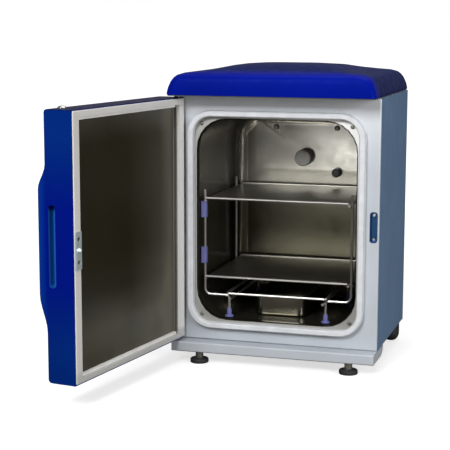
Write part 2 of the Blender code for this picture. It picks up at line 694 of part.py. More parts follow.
def make_rear_feet():
    """Fixed rubber feet, domed, under the rear corners."""
    top = SHELL_BASE - GAP
    tread = REAR_FOOT_TREAD_RADIUS
    for side, word in ((-1, "left"), (1, "right")):
        dome = REAR_FOOT_RADIUS
        profile = [(0, top), (REAR_FOOT_RADIUS, top), (REAR_FOOT_RADIUS, GROUND + dome)]
        profile += arc((tread, GROUND + dome), (REAR_FOOT_RADIUS - tread, dome), 0, -90, 7)[1:]
        profile += [(0, GROUND)]
        place = (side * (SIDE_X - REAR_FOOT_INSET_X), BACK_Y - REAR_FOOT_INSET_Y, 0)
        turned(f"foot_rear_{word}", profile, BLACK_RUBBER, place, steps=28)


def make_top_plate():
    """The steel plate that the blue cover, the electronics and the upper hinge pin sit on."""
    front = FRONT_Y - LID_OVERHANG + LID_PLATE_INSET
    back = BACK_Y - LID_PLATE_INSET
    outline = rounded_rect(BODY_WIDTH - 2 * LID_PLATE_INSET, back - front, LID_CORNER - LID_PLATE_INSET,
                           (0, (front + back) / 2), 4)
    rings = [at_z(outline, PLATE_BASE), at_z(outline, PLATE_BASE + LID_PLATE_THICKNESS)]
    plate = put("top_plate", loft("top_plate", rings), PANEL_PAINT)
    cut(plate, rods("plate_pin_hole", [(PIVOT_X, PIVOT_Y)], PIN_RADIUS + SLIP,
                    PLATE_BASE - REACH, PLATE_BASE + REACH, steps=16))


def make_top_cover():
    """The blue cover: one shell, upright at the front, drawn in at the sides and back, crowned."""
    rings = []
    for height, front_in, side_in, back_in, corner in LID_PROFILE:
        front = FRONT_Y - LID_OVERHANG + front_in
        back = BACK_Y - back_in
        outline = rounded_rect(BODY_WIDTH - 2 * side_in, back - front, corner, (0, (front + back) / 2))
        rings.append(at_z(outline, LID_BASE + height))
    bm = bmesh.new()
    surface = loft("top_cover", rings, capped=False)
    bm.from_mesh(surface)
    bm.verts.ensure_lookup_table()
    count = len(rings[0])
    bm.faces.new(bm.verts[i] for i in range(len(bm.verts) - count, len(bm.verts)))
    bmesh.ops.recalc_face_normals(bm, faces=bm.faces)
    bm.to_mesh(surface)
    bm.free()
    cover = put("top_cover", surface, BLUE_MOULDING)
    wall = cover.modifiers.new("Wall", "SOLIDIFY")
    wall.thickness = LID_WALL
    wall.offset = -1.0


def make_chamber():
    """Deep-drawn steel chamber with a flange round its mouth and a flared lip."""
    sheet = CHAMBER_SHEET
    curve = CHAMBER_REAR_CURVE

    def tub(offset, back):
        """Rings from the rear wall's flat forward, then along the walls to the flare."""
        rings = []
        for step in range(4):
            turn = math.pi / 2 * step / 3
            inset = offset - curve * (1 - math.sin(turn))
            rings.append(mouth_ring(inset, back - curve * (1 - math.cos(turn))))
        rings.append(mouth_ring(offset, FRONT_Y + CHAMBER_FLARE_DEPTH))
        return rings

    flange = CUTOUT_MARGIN - GAP
    flange_corner = SEAL_CORNER + flange
    rings = tub(-CHAMBER_FLARE, CHAMBER_BACK)
    rings.append(mouth_ring(-0.0012, FRONT_Y + 0.0014))
    rings.append(mouth_ring(0.0, FRONT_Y))
    rings.append(mouth_ring(flange, FRONT_Y, flange_corner))
    rings.append(mouth_ring(flange, FRONT_Y + sheet, flange_corner))
    rings.append(mouth_ring(0.0003, FRONT_Y + sheet))
    rings += reversed(tub(-CHAMBER_FLARE + sheet, LINER_BACK))
    liner = put("chamber_liner", loft("chamber_liner", rings), STEEL)
    through = (CHAMBER_BACK - REACH, LINER_BACK + REACH)
    cut(liner, rods("liner_port_hole", [(PORT_X, PORT_Z)], PORT_PLUG_RADIUS + SLIP, *through, "Y", ROUND_STEPS))
    cut(liner, rods("liner_sensor_hole", [(SENSOR_X, SENSOR_Z)], SENSOR_STEM_RADIUS + SLIP, *through, "Y"))
    cut(liner, rods("liner_bolt_holes", wall_bolt_places(), WALL_BOLT_RADIUS / 2 + SLIP, *through, "Y"))
    cut(liner, rods("flange_screw_holes", flange_screw_places(), SCREW_RADIUS / 2 + SLIP,
                    FRONT_Y - REACH, FRONT_Y + REACH / 2, "Y", 10))


def flange_screw_places():
    x = MOUTH_WIDTH / 2 - FLANGE_SCREW_INSET_X
    z = MOUTH_HEIGHT / 2 - FLANGE_SCREW_INSET_Z
    return [(-x, MOUTH_Z + z), (x, MOUTH_Z + z), (-x, MOUTH_Z - z), (x, MOUTH_Z - z)]


def wall_bolt_places():
    return [(-0.0035 + side * WALL_BOLT_SPACING / 2, WALL_BOLT_Z) for side in (-1, 1)]


def screw_profile(radius, height, length):
    """A pan head on a shank: height above the surface at 0, shank below it."""
    shank = radius / 2
    profile = [(0, height)]
    profile += arc((radius - height * 0.7, height * 0.3), (height * 0.7, height * 0.7), 90, 0, 3)
    profile += [(radius, GAP), (shank, GAP), (shank, -length + shank / 2), (shank / 2, -length), (0, -length)]
    return profile


def make_chamber_screws():
    profile = screw_profile(SCREW_RADIUS, 0.0022, 0.009)
    flipped = [(radius, -height) for radius, height in reversed(profile)]
    names = ("upper_left", "upper_right", "lower_left", "lower_right")
    for name, (x, z) in zip(names, flange_screw_places()):
        turned(f"flange_screw_{name}", flipped, BRIGHT_STEEL, (x, FRONT_Y, z), "Y", steps=SMALL_ROUND_STEPS)
    profile = screw_profile(WALL_BOLT_RADIUS, 0.0045, 0.014)
    flipped = [(radius, -height) for radius, height in reversed(profile)]
    for name, (x, z) in zip(("left", "right"), wall_bolt_places()):
        turned(f"wall_bolt_{name}", flipped, BRIGHT_STEEL, (x, CHAMBER_BACK, z), "Y", steps=16)


def make_insulation():
    """Fibre blanket between the outer sheet and the chamber, as one block."""
    side = SIDE_X - SKIN - GAP
    low = SHELL_BASE + SKIN + GAP
    blanket = put("insulation", block("insulation", (-side, SHELL_FRONT, low), (side, SHELL_BACK, PLATE_BASE - GAP)),
                  INSULATION)
    offset = -CHAMBER_FLARE + CHAMBER_SHEET + HEATER_SPACE
    back = LINER_BACK + HEATER_SPACE
    curve = CHAMBER_REAR_CURVE
    rings = [mouth_ring(offset, SHELL_FRONT - REACH)]
    for step in range(3, -1, -1):
        turn = math.pi / 2 * step / 3
        rings.append(mouth_ring(offset - curve * (1 - math.sin(turn)), back - curve * (1 - math.cos(turn))))
    cut(blanket, loft("chamber_space", rings))
    tube = PORT_PLUG_RADIUS + SLIP + PORT_TUBE_WALL + SLIP
    cut(blanket, rods("blanket_port_hole", [(PORT_X, PORT_Z)], tube, back - REACH, BACK_Y, "Y", ROUND_STEPS))
    cut(blanket, rods("blanket_sensor_hole", [(SENSOR_X, SENSOR_Z)], SENSOR_STEM_RADIUS + SLIP,
                      back - REACH, LINER_BACK + SENSOR_STEM_LENGTH + GAP, "Y"))
    cut(blanket, rods("blanket_bolt_holes", wall_bolt_places(), WALL_BOLT_RADIUS / 2 + SLIP,
                      back - REACH, LINER_BACK + 0.015, "Y"))
    cut(blanket, rods("blanket_screw_holes", flange_screw_places(), SCREW_RADIUS / 2 + SLIP,
                      SHELL_FRONT - REACH, FRONT_Y + 0.010, "Y", 10))
    cut(blanket, rods("blanket_gas_hole", [(GAS_X, SHELL_BASE + INLET_HEIGHT)], GAS_RADIUS + SLIP,
                      SHELL_BACK - GAS_STEM_LENGTH - GAP, BACK_Y, "Y"))
    z = SHELL_BASE + INLET_HEIGHT
    wide, tall = STRIKE_WIDTH / 2, STRIKE_LENGTH / 2
    pockets = [((STRIKE_X - wide, SHELL_FRONT - REACH, LATCH_Z - tall),
                (min(STRIKE_X + wide, side + REACH), FRONT_Y + STRIKE_DEPTH + STRIKE_WALL + GAP, LATCH_Z + tall))]
    for x, width, height, depth in ((INLET_X, INLET_WIDTH, INLET_TALL, INLET_DEPTH),
                                    (SWITCH_X, SWITCH_WIDTH, SWITCH_TALL, SWITCH_DEPTH)):
        half_w, half_h = width / 2 + SLIP, height / 2 + SLIP
        pockets.append(((x - half_w, SHELL_BACK - depth - GAP, z - half_h), (x + half_w, BACK_Y, z + half_h)))
    cut(blanket, block("blanket_pockets", *pockets[0], pockets[1:]))


def make_heater():
    top = FLOOR_Z - CHAMBER_SHEET - GAP
    front = FRONT_Y + HEATER_END_MARGIN
    low, high = (-HEATER_WIDTH / 2, front), (HEATER_WIDTH / 2, front + HEATER_DEPTH)
    put("heater_mat", block("heater_mat", (*low, top - HEATER_THICKNESS), (*high, top)), HEATER)


def make_door_seal():
    """Silicone ring on the front panel, with a thin lip outside and a rounded crown."""
    crown = DOOR_GAP + RECESS_DEPTH - 2 * GAP
    inner, outer = SEAL_MARGIN, SEAL_MARGIN + SEAL_WIDTH
    body = outer - SEAL_LIP_WIDTH
    soft = 0.002
    section = [
        (inner, 0.0),
        (outer, 0.0),
        (outer, SEAL_LIP_HEIGHT * 0.6),
        (body, SEAL_LIP_HEIGHT),
        (body - SEAL_DRAFT, crown - soft),
        (body - SEAL_DRAFT - soft, crown),
        (inner + SEAL_DRAFT / 2 + soft, crown),
        (inner + SEAL_DRAFT / 2, crown - soft),
    ]
    rings = [mouth_ring(offset, FRONT_Y - GAP - height, SEAL_CORNER + offset) for offset, height in section]
    put("door_seal", loft("door_seal", rings, ring_shaped=True), SEAL_SILICONE)


def make_strike():
    """Recessed cup that takes the latch bolt, with its two screws."""
    deep = FRONT_Y + STRIKE_DEPTH
    wide, tall, wall = STRIKE_WIDTH - 2 * GAP, STRIKE_LENGTH - 2 * GAP, STRIKE_WALL
    centre = (STRIKE_X, LATCH_Z)
    outer = rounded_rect(wide, tall, STRIKE_CORNER - GAP, centre, 5)
    inner = rounded_rect(wide - 2 * wall, tall - 2 * wall, STRIKE_CORNER - GAP - wall, centre, 5)
    rings = [at_y(inner, deep), at_y(inner, FRONT_Y), at_y(outer, FRONT_Y), at_y(outer, deep + wall)]
    cup = put("strike_cup", loft("strike_cup", rings), STRIKE_STEEL)
    places = [(STRIKE_X, LATCH_Z + side * STRIKE_LENGTH * 0.36) for side in (-1, 1)]
    fuse(cup, rods("strike_screw_heads", places, STRIKE_SCREW_RADIUS, deep - 0.002, deep + wall / 2, "Y", 12))


# ---- Inside the chamber -------------------------------------------------------------------

POST_FRONT = FRONT_Y + RACK_FRONT
POST_BACK = POST_FRONT + RACK_DEPTH
FOOT_BORE_BASE = FLOOR_Z + 0.005


def make_rack_sides():
    """Each side of the rack: a front and a rear wire, joined by three rails that are welded on."""
    for side, word in ((-1, "left"), (1, "right")):
        post, leg = side * RACK_HALF_WIDTH, side * RACK_LEG_HALF_WIDTH
        meshes = []
        for y, end in ((POST_FRONT, "front"), (POST_BACK, "rear")):
            corners = [(post, y, FLOOR_Z + POST_TOP), (post, y, FLOOR_Z + RACK_KNEE),
                       (leg, y, FLOOR_Z + RACK_KNEE), (leg, y, FOOT_BORE_BASE + GAP)]
            meshes.append(wire_mesh(f"rack_{end}_wire_{word}", bent(corners, (RACK_BEND, RACK_LEG_BEND))))
        inset = side * POST_WELD
        for name, x, height in (("upper", post - inset, UPPER_RAIL), ("lower", post - inset, LOWER_RAIL),
                                ("base", leg - inset, BASE_RAIL)):
            z = FLOOR_Z + height
            ends = [(x, POST_FRONT - RAIL_OVERHANG, z), (x, POST_BACK + RAIL_OVERHANG, z)]
            meshes.append(wire_mesh(f"rack_{name}_rail_{word}", ends))
        frame = put(f"rack_side_{word}", meshes[0], BRIGHT_STEEL)
        for mesh in meshes[1:]:
            fuse(frame, mesh)


def make_rack_cradle():
    """Loop of wire that lies on the bent knees of both rack sides."""
    across = max(0.0, RACK_LEG_HALF_WIDTH + RACK_LEG_BEND - CRADLE_HALF_WIDTH)
    reach = RACK_LEG_BEND + 2 * WIRE_RADIUS + GAP
    z = FLOOR_Z + RACK_KNEE - RACK_LEG_BEND + math.sqrt(reach * reach - across * across)
    front, back = POST_FRONT - CRADLE_OVERHANG, POST_BACK + CRADLE_OVERHANG
    outline = rounded_rect(2 * CRADLE_HALF_WIDTH, back - front, 0.006, (0, (front + back) / 2), 3)
    put("rack_cradle", wire_mesh("rack_cradle", at_z(outline, z), cyclic=True), BRIGHT_STEEL)


def make_rack_feet():
    for side, across in ((-1, "left"), (1, "right")):
        for y, along in ((POST_FRONT, "front"), (POST_BACK, "rear")):
            top = FLOOR_Z + GAP + RACK_FOOT_HEIGHT
            low = FLOOR_Z + GAP
            bore = WIRE_RADIUS + SLIP
            profile = [(0, FOOT_BORE_BASE), (bore, FOOT_BORE_BASE), (bore, top), (RACK_FOOT_RADIUS - 0.0008, top),
                       (RACK_FOOT_RADIUS, top - 0.003), (RACK_FOOT_RADIUS, low + 0.006),
                       (RACK_FOOT_FLANGE, low + RACK_FOOT_FLANGE_HEIGHT), (RACK_FOOT_FLANGE, low + 0.0013),
                       (RACK_FOOT_FLANGE * 0.3, low), (0, low)]
            turned(f"rack_foot_{along}_{across}", profile, BLUE_SILICONE,
                   (side * RACK_LEG_HALF_WIDTH, y, 0), steps=16)


def make_rack_clips():
    """Silicone sleeves on the left front post that keep the rack off the chamber's wall."""
    for height, word in zip(CLIP_HEIGHTS, ("lower", "upper")):
        centre = (-RACK_HALF_WIDTH, POST_FRONT)
        low, high = FLOOR_Z + height - CLIP_LENGTH / 2, FLOOR_Z + height + CLIP_LENGTH / 2
        outer = rounded_rect(CLIP_WIDTH, CLIP_DEPTH, 0.003, (centre[0] - CLIP_SHIFT, centre[1]), 3)
        bore = rounded_rect(2 * (WIRE_RADIUS + SLIP), 2 * (WIRE_RADIUS + SLIP), WIRE_RADIUS + SLIP, centre, 3)
        rings = [at_z(outer, low), at_z(outer, high), at_z(bore, high), at_z(bore, low)]
        put(f"rack_clip_{word}", loft("rack_clip", rings, ring_shaped=True), BLUE_SILICONE)


def make_shelves():
    """Steel sheets with rolled front and rear edges, which slide on the rack's rails."""
    radius, sheet = SHELF_ROLL_RADIUS, SHELF_SHEET
    front = FRONT_Y + SHELF_FRONT
    back = front + SHELF_DEPTH
    for rail, word in ((UPPER_RAIL, "upper"), (LOWER_RAIL, "lower")):
        base = FLOOR_Z + rail + WIRE_RADIUS + GAP
        axis = base + radius
        profile = arc((front, axis), (radius, radius), 270, 0, 7)
        profile += [(front + radius, base + sheet), (back - radius, base + sheet)]
        profile += arc((back, axis), (radius, radius), 180, -90, 7)
        rings = [at_x(profile, -SHELF_WIDTH / 2), at_x(profile, SHELF_WIDTH / 2)]
        put(f"shelf_{word}", loft("shelf", rings), STEEL)


def make_tray():
    """Water tray on the chamber's floor."""
    front = FRONT_Y + TRAY_FRONT
    centre = (TRAY_X, front + TRAY_DEPTH / 2)
    base, top = FLOOR_Z + GAP, FLOOR_Z + GAP + TRAY_HEIGHT
    sheet, turn_up = TRAY_SHEET, 0.006

    def ring(inset, z):
        return at_z(rounded_rect(TRAY_WIDTH - 2 * inset, TRAY_DEPTH - 2 * inset, TRAY_CORNER - inset, centre, 5), z)

    rings = [ring(turn_up, base), ring(turn_up * 0.3, base + turn_up * 0.3), ring(0, base + turn_up), ring(0, top),
             ring(sheet, top), ring(sheet, base + turn_up), ring(turn_up + sheet * 0.6, base + sheet)]
    put("water_tray", loft("water_tray", rings), BRIGHT_STEEL)


def make_port():
    """Access port through the rear wall: a tube in the insulation and the plug that fills it."""
    bore = PORT_PLUG_RADIUS + SLIP
    outer = bore + PORT_TUBE_WALL
    start, end = LINER_BACK + GAP, BACK_Y + 0.002
    profile = [(bore, end), (outer, end), (outer, start), (bore, start), (bore, end)]
    turned("port_tube", profile, BLACK_PLASTIC, (PORT_X, 0, PORT_Z), "Y")
    face, tail = CHAMBER_BACK - PORT_PLUG_REACH, BACK_Y
    radius = PORT_PLUG_RADIUS
    plug = [(0, tail), (radius - 0.001, tail), (radius, tail - 0.001), (radius, face + 0.002),
            (radius - 0.002, face), (0, face)]
    turned("port_plug", plug, GREY_SILICONE, (PORT_X, 0, PORT_Z), "Y")


def make_sensor():
    """Black cap over the probe in the rear wall."""
    near = CHAMBER_BACK - GAP
    face = near - SENSOR_LENGTH
    stem = LINER_BACK + SENSOR_STEM_LENGTH
    radius, thin = SENSOR_RADIUS, SENSOR_STEM_RADIUS
    profile = [(0, stem), (thin, stem), (thin, near), (radius, near), (radius, face + 0.004)]
    profile += arc((radius - 0.004, face + 0.004), (0.004, 0.004), 0, -90, 3)[1:]
    profile += [(0, face)]
    turned("sensor_cap", profile, BLACK_PLASTIC, (SENSOR_X, 0, SENSOR_Z), "Y", steps=18)


# ---- Rear connections and electronics -----------------------------------------------------


def make_rear_fittings():
    z = SHELL_BASE + INLET_HEIGHT
    back = BACK_Y + GAP
    wide, tall = INLET_WIDTH / 2, INLET_TALL / 2
    flange = INLET_FLANGE
    inlet = put("power_inlet", block("power_inlet", (INLET_X - wide, SHELL_BACK - INLET_DEPTH, z - tall),
                                     (INLET_X + wide, back + 0.001, z + tall)), BLACK_PLASTIC)
    fuse(inlet, block("inlet_flange", (INLET_X - wide - flange, back, z - tall - flange),
                      (INLET_X + wide + flange, back + 0.003, z + tall + flange)))
    inset = 0.003
    cut(inlet, block("inlet_recess", (INLET_X - wide + inset, SHELL_BACK - INLET_DEPTH + inset, z - tall + inset),
                     (INLET_X + wide - inset, back + REACH, z + tall - inset)))
    pin = (0.002, 0.004)
    pins = []
    for step, drop in ((-1, 0.0), (0, 0.003), (1, 0.0)):
        x = INLET_X + step * INLET_PIN_SPACING
        pins.append(((x - pin[0] / 2, SHELL_BACK - INLET_DEPTH + inset / 2, z - pin[1] / 2 - drop),
                     (x + pin[0] / 2, back - 0.003, z + pin[1] / 2 - drop)))
    fuse(inlet, block("inlet_pins", *pins[0], pins[1:]))

    half_w, half_h = SWITCH_WIDTH / 2 - SLIP, SWITCH_TALL / 2 - 0.0012
    tilt = math.radians(SWITCH_TILT)
    outline = [(-SWITCH_DEPTH * 0.55, -half_h * 0.55), (0.0, -half_h), (SWITCH_PROUD, -half_h),
               (SWITCH_PROUD - 0.0012, 0.0), (SWITCH_PROUD, half_h), (0.0, half_h),
               (-SWITCH_DEPTH * 0.55, half_h * 0.55)]
    turned_outline = [(y * math.cos(tilt) - h * math.sin(tilt), y * math.sin(tilt) + h * math.cos(tilt))
                      for y, h in outline]
    rings = [at_x(turned_outline, -half_w), at_x(turned_outline, half_w)]
    put("rocker_switch", loft("rocker_switch", rings), BLACK_PLASTIC, (SWITCH_X, BACK_Y, z))

    radius, thin = GAS_RADIUS, GAS_RADIUS - 0.001
    tip = back + GAS_BARB_LENGTH
    profile = [(0, tip), (thin - 0.001, tip)]
    for barb in range(3):
        top = tip - 0.004 * barb
        profile += [(radius - 0.0004, top - 0.0032), (thin, top - 0.0034)]
    profile += [(thin, back + 0.004), (radius + 0.003, back + 0.004), (radius + 0.003, back),
                (radius, back), (radius, SHELL_BACK - GAS_STEM_LENGTH), (0, SHELL_BACK - GAS_STEM_LENGTH)]
    turned("gas_inlet", profile, BRIGHT_STEEL, (GAS_X, 0, z), "Y", steps=16)


def make_electronics():
    base = LID_BASE
    low_x, high_x = BOARD_X - BOARD_WIDTH / 2, BOARD_X + BOARD_WIDTH / 2
    low_y, high_y = BOARD_Y - BOARD_DEPTH / 2, BOARD_Y + BOARD_DEPTH / 2
    top = base + BOARD_LIFT + BOARD_THICKNESS
    board = put("control_board", block("control_board", (low_x, low_y, base + BOARD_LIFT), (high_x, high_y, top)),
                BOARD)
    inset = STANDOFF_INSET
    corners = [(x, y) for x in (low_x + inset, high_x - inset) for y in (low_y + inset, high_y - inset)]
    fuse(board, rods("standoffs", corners, STANDOFF_RADIUS, base, base + BOARD_LIFT + BOARD_THICKNESS / 2, steps=10))
    parts = []
    for left, right, near, far, height in ((0.125, 0.39, 0.18, 0.50, RELAY_HEIGHT),
                                           (0.50, 0.625, 0.27, 0.45, CHIP_HEIGHT),
                                           (0.72, 0.84, 0.18, 0.73, SOCKET_HEIGHT)):
        parts.append(((low_x + BOARD_WIDTH * left, low_y + BOARD_DEPTH * near, top - BOARD_THICKNESS / 2),
                      (low_x + BOARD_WIDTH * right, low_y + BOARD_DEPTH * far, top + height)))
    fuse(board, block("board_parts", *parts[0], parts[1:]))
    supply = put("power_supply",
                 block("power_supply", (SUPPLY_X - SUPPLY_WIDTH / 2, BOARD_Y - SUPPLY_DEPTH / 2, base),
                       (SUPPLY_X + SUPPLY_WIDTH / 2, BOARD_Y + SUPPLY_DEPTH / 2, base + SUPPLY_HEIGHT)),
                 BRIGHT_STEEL)
    soften = supply.modifiers.new("Edges", "BEVEL")
    soften.width = 0.002
    soften.segments = 2


# ---- Door ---------------------------------------------------------------------------------
# The door is drawn closed, about its hinge axis. u runs from its hinge edge to its free edge
# and n from its frame's face outwards, so the door's outer face is at n = DOOR_THICKNESS.

PIVOT = bpy.data.objects.new("door_pivot", None)
PARTS.objects.link(PIVOT)
PIVOT.location = (PIVOT_X, PIVOT_Y, 0.0)
PIVOT.rotation_euler = (0.0, 0.0, -math.radians(DOOR_OPEN_ANGLE))


def door_x(u):
    return u - PIVOT_INSET


def door_y(n):
    return PIVOT_DEPTH - n


def door_rect(side, bottom, top, radius, n, steps=3):
    """A rectangle on the door, inset from its outline by these amounts."""
    width = DOOR_WIDTH - 2 * side
    height = DOOR_HEIGHT - bottom - top
    centre = (door_x(DOOR_WIDTH / 2), DOOR_BASE + bottom + height / 2)
    return at_y(rounded_rect(width, height, radius, centre, steps), door_y(n))


def even_rect(inset, n, radius=None):
    return door_rect(inset, inset, inset, FRAME_EDGE if radius is None else radius, n)


def smooth_step(value):
    value = min(1.0, max(0.0, value))
    return value * value * (3 - 2 * value)


def bulge_at(height):
    """How much of the grip's bulge there is at a height above the door's lower edge, from 0 to 1."""
    rising = smooth_step((height - BULGE_LOW + BULGE_RISE_LOW) / BULGE_RISE_LOW)
    falling = smooth_step((BULGE_HIGH + BULGE_RISE_HIGH - height) / BULGE_RISE_HIGH)
    return min(rising, falling)


def shell_section(height, drop):
    """The door shell's outline at a height, its outer face drawn back by a drop near the ends."""
    swell = bulge_at(height)
    flat, full = DOOR_THICKNESS - drop, DOOR_THICKNESS - drop + BULGE * swell
    edge = DOOR_EDGE + (BULGE_EDGE - DOOR_EDGE) * swell
    points = [(0.0, SHELL_START), (DOOR_WIDTH, SHELL_START)]
    points += arc((DOOR_WIDTH - edge, full - edge), (edge, edge), 0, 90, 4)
    fade_start = DOOR_WIDTH - BULGE_WIDTH
    for step in range(9):
        share = step / 8
        points.append((fade_start - BULGE_FADE * share, full - (full - flat) * smooth_step(share)))
    points += arc((DOOR_EDGE, flat - DOOR_EDGE), (DOOR_EDGE, DOOR_EDGE), 90, 180, 3)
    return [(door_x(u), door_y(n), DOOR_BASE + height) for u, n in points]


def notched_outline(inset, n):
    """The door's hollow, left solid at the hinge pins and behind the grip's slot."""
    left, right = inset, DOOR_WIDTH - inset
    low, high = DOOR_BASE + inset, DOOR_TOP - inset
    block_u, block_h = HINGE_BLOCK_WIDTH + inset - DOOR_WALL, HINGE_BLOCK_HEIGHT + inset - DOOR_WALL
    grip_u = DOOR_WIDTH - SLOT_DEPTH - SLOT_WALL - (inset - DOOR_WALL)
    grip_margin = SLOT_WALL + (inset - DOOR_WALL)
    grip_low = DOOR_BASE + SLOT_BASE - grip_margin
    grip_high = DOOR_BASE + SLOT_BASE + SLOT_HEIGHT + grip_margin
    points = [
        (block_u, low), (right, low), (right, grip_low), (grip_u, grip_low), (grip_u, grip_high),
        (right, grip_high), (right, high), (block_u, high), (block_u, DOOR_TOP - block_h),
        (left, DOOR_TOP - block_h), (left, DOOR_BASE + block_h), (block_u, DOOR_BASE + block_h),
    ]
    return at_y([(door_x(u), z) for u, z in points], door_y(n))


def cut_pin_bores(target):
    bore = PIN_RADIUS + SLIP
    depth = PIN_GRIP + GAP
    for low, high in ((DOOR_BASE - REACH, DOOR_BASE + depth), (DOOR_TOP - depth, DOOR_TOP + REACH)):
        cut(target, rods("pin_bore", [(0, 0)], bore, low, high, steps=16), PIVOT)


def make_door_shell():
    """Blue moulding: outer face with the grip's bulge, four sides, open towards the cabinet."""
    heights = [0.0]
    edge_steps = 3
    drops = []
    for step in range(edge_steps + 1):
        turn = math.pi / 2 * step / edge_steps
        drops.append((DOOR_EDGE * (1 - math.cos(turn)), DOOR_EDGE * (1 - math.sin(turn))))
    heights = [height for height, _ in drops]
    for start, rise in ((BULGE_LOW - BULGE_RISE_LOW, BULGE_RISE_LOW), (BULGE_HIGH, BULGE_RISE_HIGH)):
        heights += [start + rise * step / 6 for step in range(7)]
    heights += [DOOR_HEIGHT - height for height, _ in reversed(drops)]
    rings = []
    for height in heights:
        near_end = min(height, DOOR_HEIGHT - height)
        drop = next((fall for level, fall in drops if abs(near_end - level) < 1e-9), 0.0)
        rings.append(shell_section(height, drop))
    shell = put("door_shell", loft("door_shell", rings), BLUE_MOULDING, parent=PIVOT)
    shallow = [door_rect(DOOR_WALL, DOOR_WALL, DOOR_WALL, FRAME_EDGE, n)
               for n in (SHELL_START - REACH, FILLING_START)]
    cut(shell, loft("door_rim_space", shallow), PIVOT)
    deep = [notched_outline(DOOR_WALL, n) for n in (FILLING_START - DOOR_WALL, DOOR_THICKNESS - DOOR_WALL)]
    cut(shell, loft("door_filling_space", deep), PIVOT)
    slot_centre = (door_y(SLOT_FROM_FRAME + SLOT_WIDTH / 2), DOOR_BASE + SLOT_BASE + SLOT_HEIGHT / 2)
    slot = rounded_rect(SLOT_WIDTH, SLOT_HEIGHT, SLOT_WIDTH * 0.42, slot_centre, 4)
    floor = rounded_rect(SLOT_WIDTH * 0.8, SLOT_HEIGHT - SLOT_WIDTH * 0.2, SLOT_WIDTH * 0.34, slot_centre, 4)
    rings = [at_x(floor, door_x(DOOR_WIDTH - SLOT_DEPTH)), at_x(slot, door_x(DOOR_WIDTH - SLOT_DEPTH * 0.8)),
             at_x(slot, door_x(DOOR_WIDTH + REACH))]
    cut(shell, loft("grip_slot", rings), PIVOT)
    cut_pin_bores(shell)
    place = (door_x(DOOR_WIDTH - PLUG_FROM_EDGE), door_y(PLUG_FROM_FRAME))
    cut(shell, rods("top_plug_hole", [place], PLUG_STEM_RADIUS + SLIP,
                    DOOR_TOP - REACH, DOOR_TOP + REACH, steps=12), PIVOT)


def make_door_frame():
    """Grey ring round the inside of the door: a thin lip over the shell's rim and a thicker part inside it."""
    edge, thick, reveal = FRAME_EDGE, FRAME_THICKNESS, FRAME_REVEAL
    seat = DOOR_WALL + GAP
    rings = [
        even_rect(reveal + edge, 0.0),
        even_rect(reveal + edge * 0.3, edge * 0.3),
        even_rect(reveal, edge),
        even_rect(reveal, FRAME_LIP),
        even_rect(seat, FRAME_LIP),
        even_rect(seat, thick),
        door_rect(FRAME_SIDE, FRAME_BOTTOM, FRAME_TOP, FRAME_EDGE, thick),
        door_rect(FRAME_SIDE, FRAME_BOTTOM, FRAME_TOP, FRAME_EDGE, 0.0),
    ]
    frame = put("door_frame", loft("door_frame", rings, ring_shaped=True), FRAME_PAINT, parent=PIVOT)
    place = [(door_x(LATCH_U), LATCH_Z)]
    bore = BOLT_RADIUS + SLIP
    cut(frame, rods("frame_bolt_bore", place, bore, door_y(-REACH), door_y(REACH), "Y"), PIVOT)
    trim = door_trim()
    cut(trim, rods("trim_bolt_bore", place, bore, door_y(0), door_y(RECESS_DEPTH + REACH), "Y"), PIVOT)
    cut_pin_bores(trim)


def door_trim():
    """Stepped ring between the frame and the inner panel, with a groove round its inner wall."""
    seat = DOOR_WALL + GAP
    start, end = TRIM_START, RECESS_DEPTH - GAP
    middle = (start + end) / 2

    def inner(inset, n):
        reach = TRIM_WIDTH + inset
        return door_rect(FRAME_SIDE + reach, FRAME_BOTTOM + reach, FRAME_TOP + reach, FRAME_EDGE, n)

    groove = 0.0012
    rings = [even_rect(seat, start), even_rect(seat, end), inner(0.0, end), inner(0.0, middle + groove),
             inner(-groove, middle + groove / 2), inner(-groove, middle - groove / 2),
             inner(0.0, middle - groove), inner(0.0, start)]
    return put("door_trim", loft("door_trim", rings, ring_shaped=True), SEAL_SILICONE, parent=PIVOT)


def make_door_panel():
    seat = DOOR_WALL + GAP
    rings = [even_rect(seat, RECESS_DEPTH), even_rect(seat, RECESS_DEPTH + DOOR_PANEL_THICKNESS)]
    panel = put("door_panel", loft("door_panel", rings), DARK_PANEL, parent=PIVOT)
    cut_pin_bores(panel)
    filling = [notched_outline(DOOR_WALL + GAP, n) for n in (FILLING_START, DOOR_THICKNESS - DOOR_WALL - GAP)]
    put("door_insulation", loft("door_insulation", filling), INSULATION, parent=PIVOT)


def make_latch():
    """Plate on the door's frame and the sprung bolt that comes through it."""
    centre = (door_x(LATCH_U), LATCH_Z)
    near, far = door_y(-GAP), door_y(-GAP - LATCH_PLATE_THICKNESS)
    middle = (centre[0] + LATCH_PLATE_SHIFT, LATCH_Z)
    outline = rounded_rect(LATCH_PLATE_WIDTH, LATCH_PLATE_LENGTH, 0.001, middle, 2)
    plate = put("latch_plate", loft("latch_plate", [at_y(outline, near), at_y(outline, far)]), BRIGHT_STEEL,
                parent=PIVOT)
    cut(plate, rods("plate_bolt_bore", [centre], BOLT_RADIUS + SLIP, near - REACH, near + REACH, "Y"), PIVOT)
    holes = [(middle[0], LATCH_Z + side * LATCH_SCREW_SPACING / 2) for side in (-1, 1)]
    cut(plate, rods("plate_screw_holes", holes, LATCH_SCREW_HOLE, near - REACH, near + REACH, "Y", 16), PIVOT)
    tail = RECESS_DEPTH - GAP - BOLT_TRAVEL - GAP
    radius, nose = BOLT_RADIUS, BOLT_REACH
    profile = [(0, nose), *arc((0, nose - radius), (radius, radius), 90, 0, 4)[1:], (radius, -tail), (0, -tail)]
    turned("latch_bolt", profile, BRIGHT_STEEL, (centre[0], door_y(0.0), LATCH_Z), "Y", PIVOT, 16)


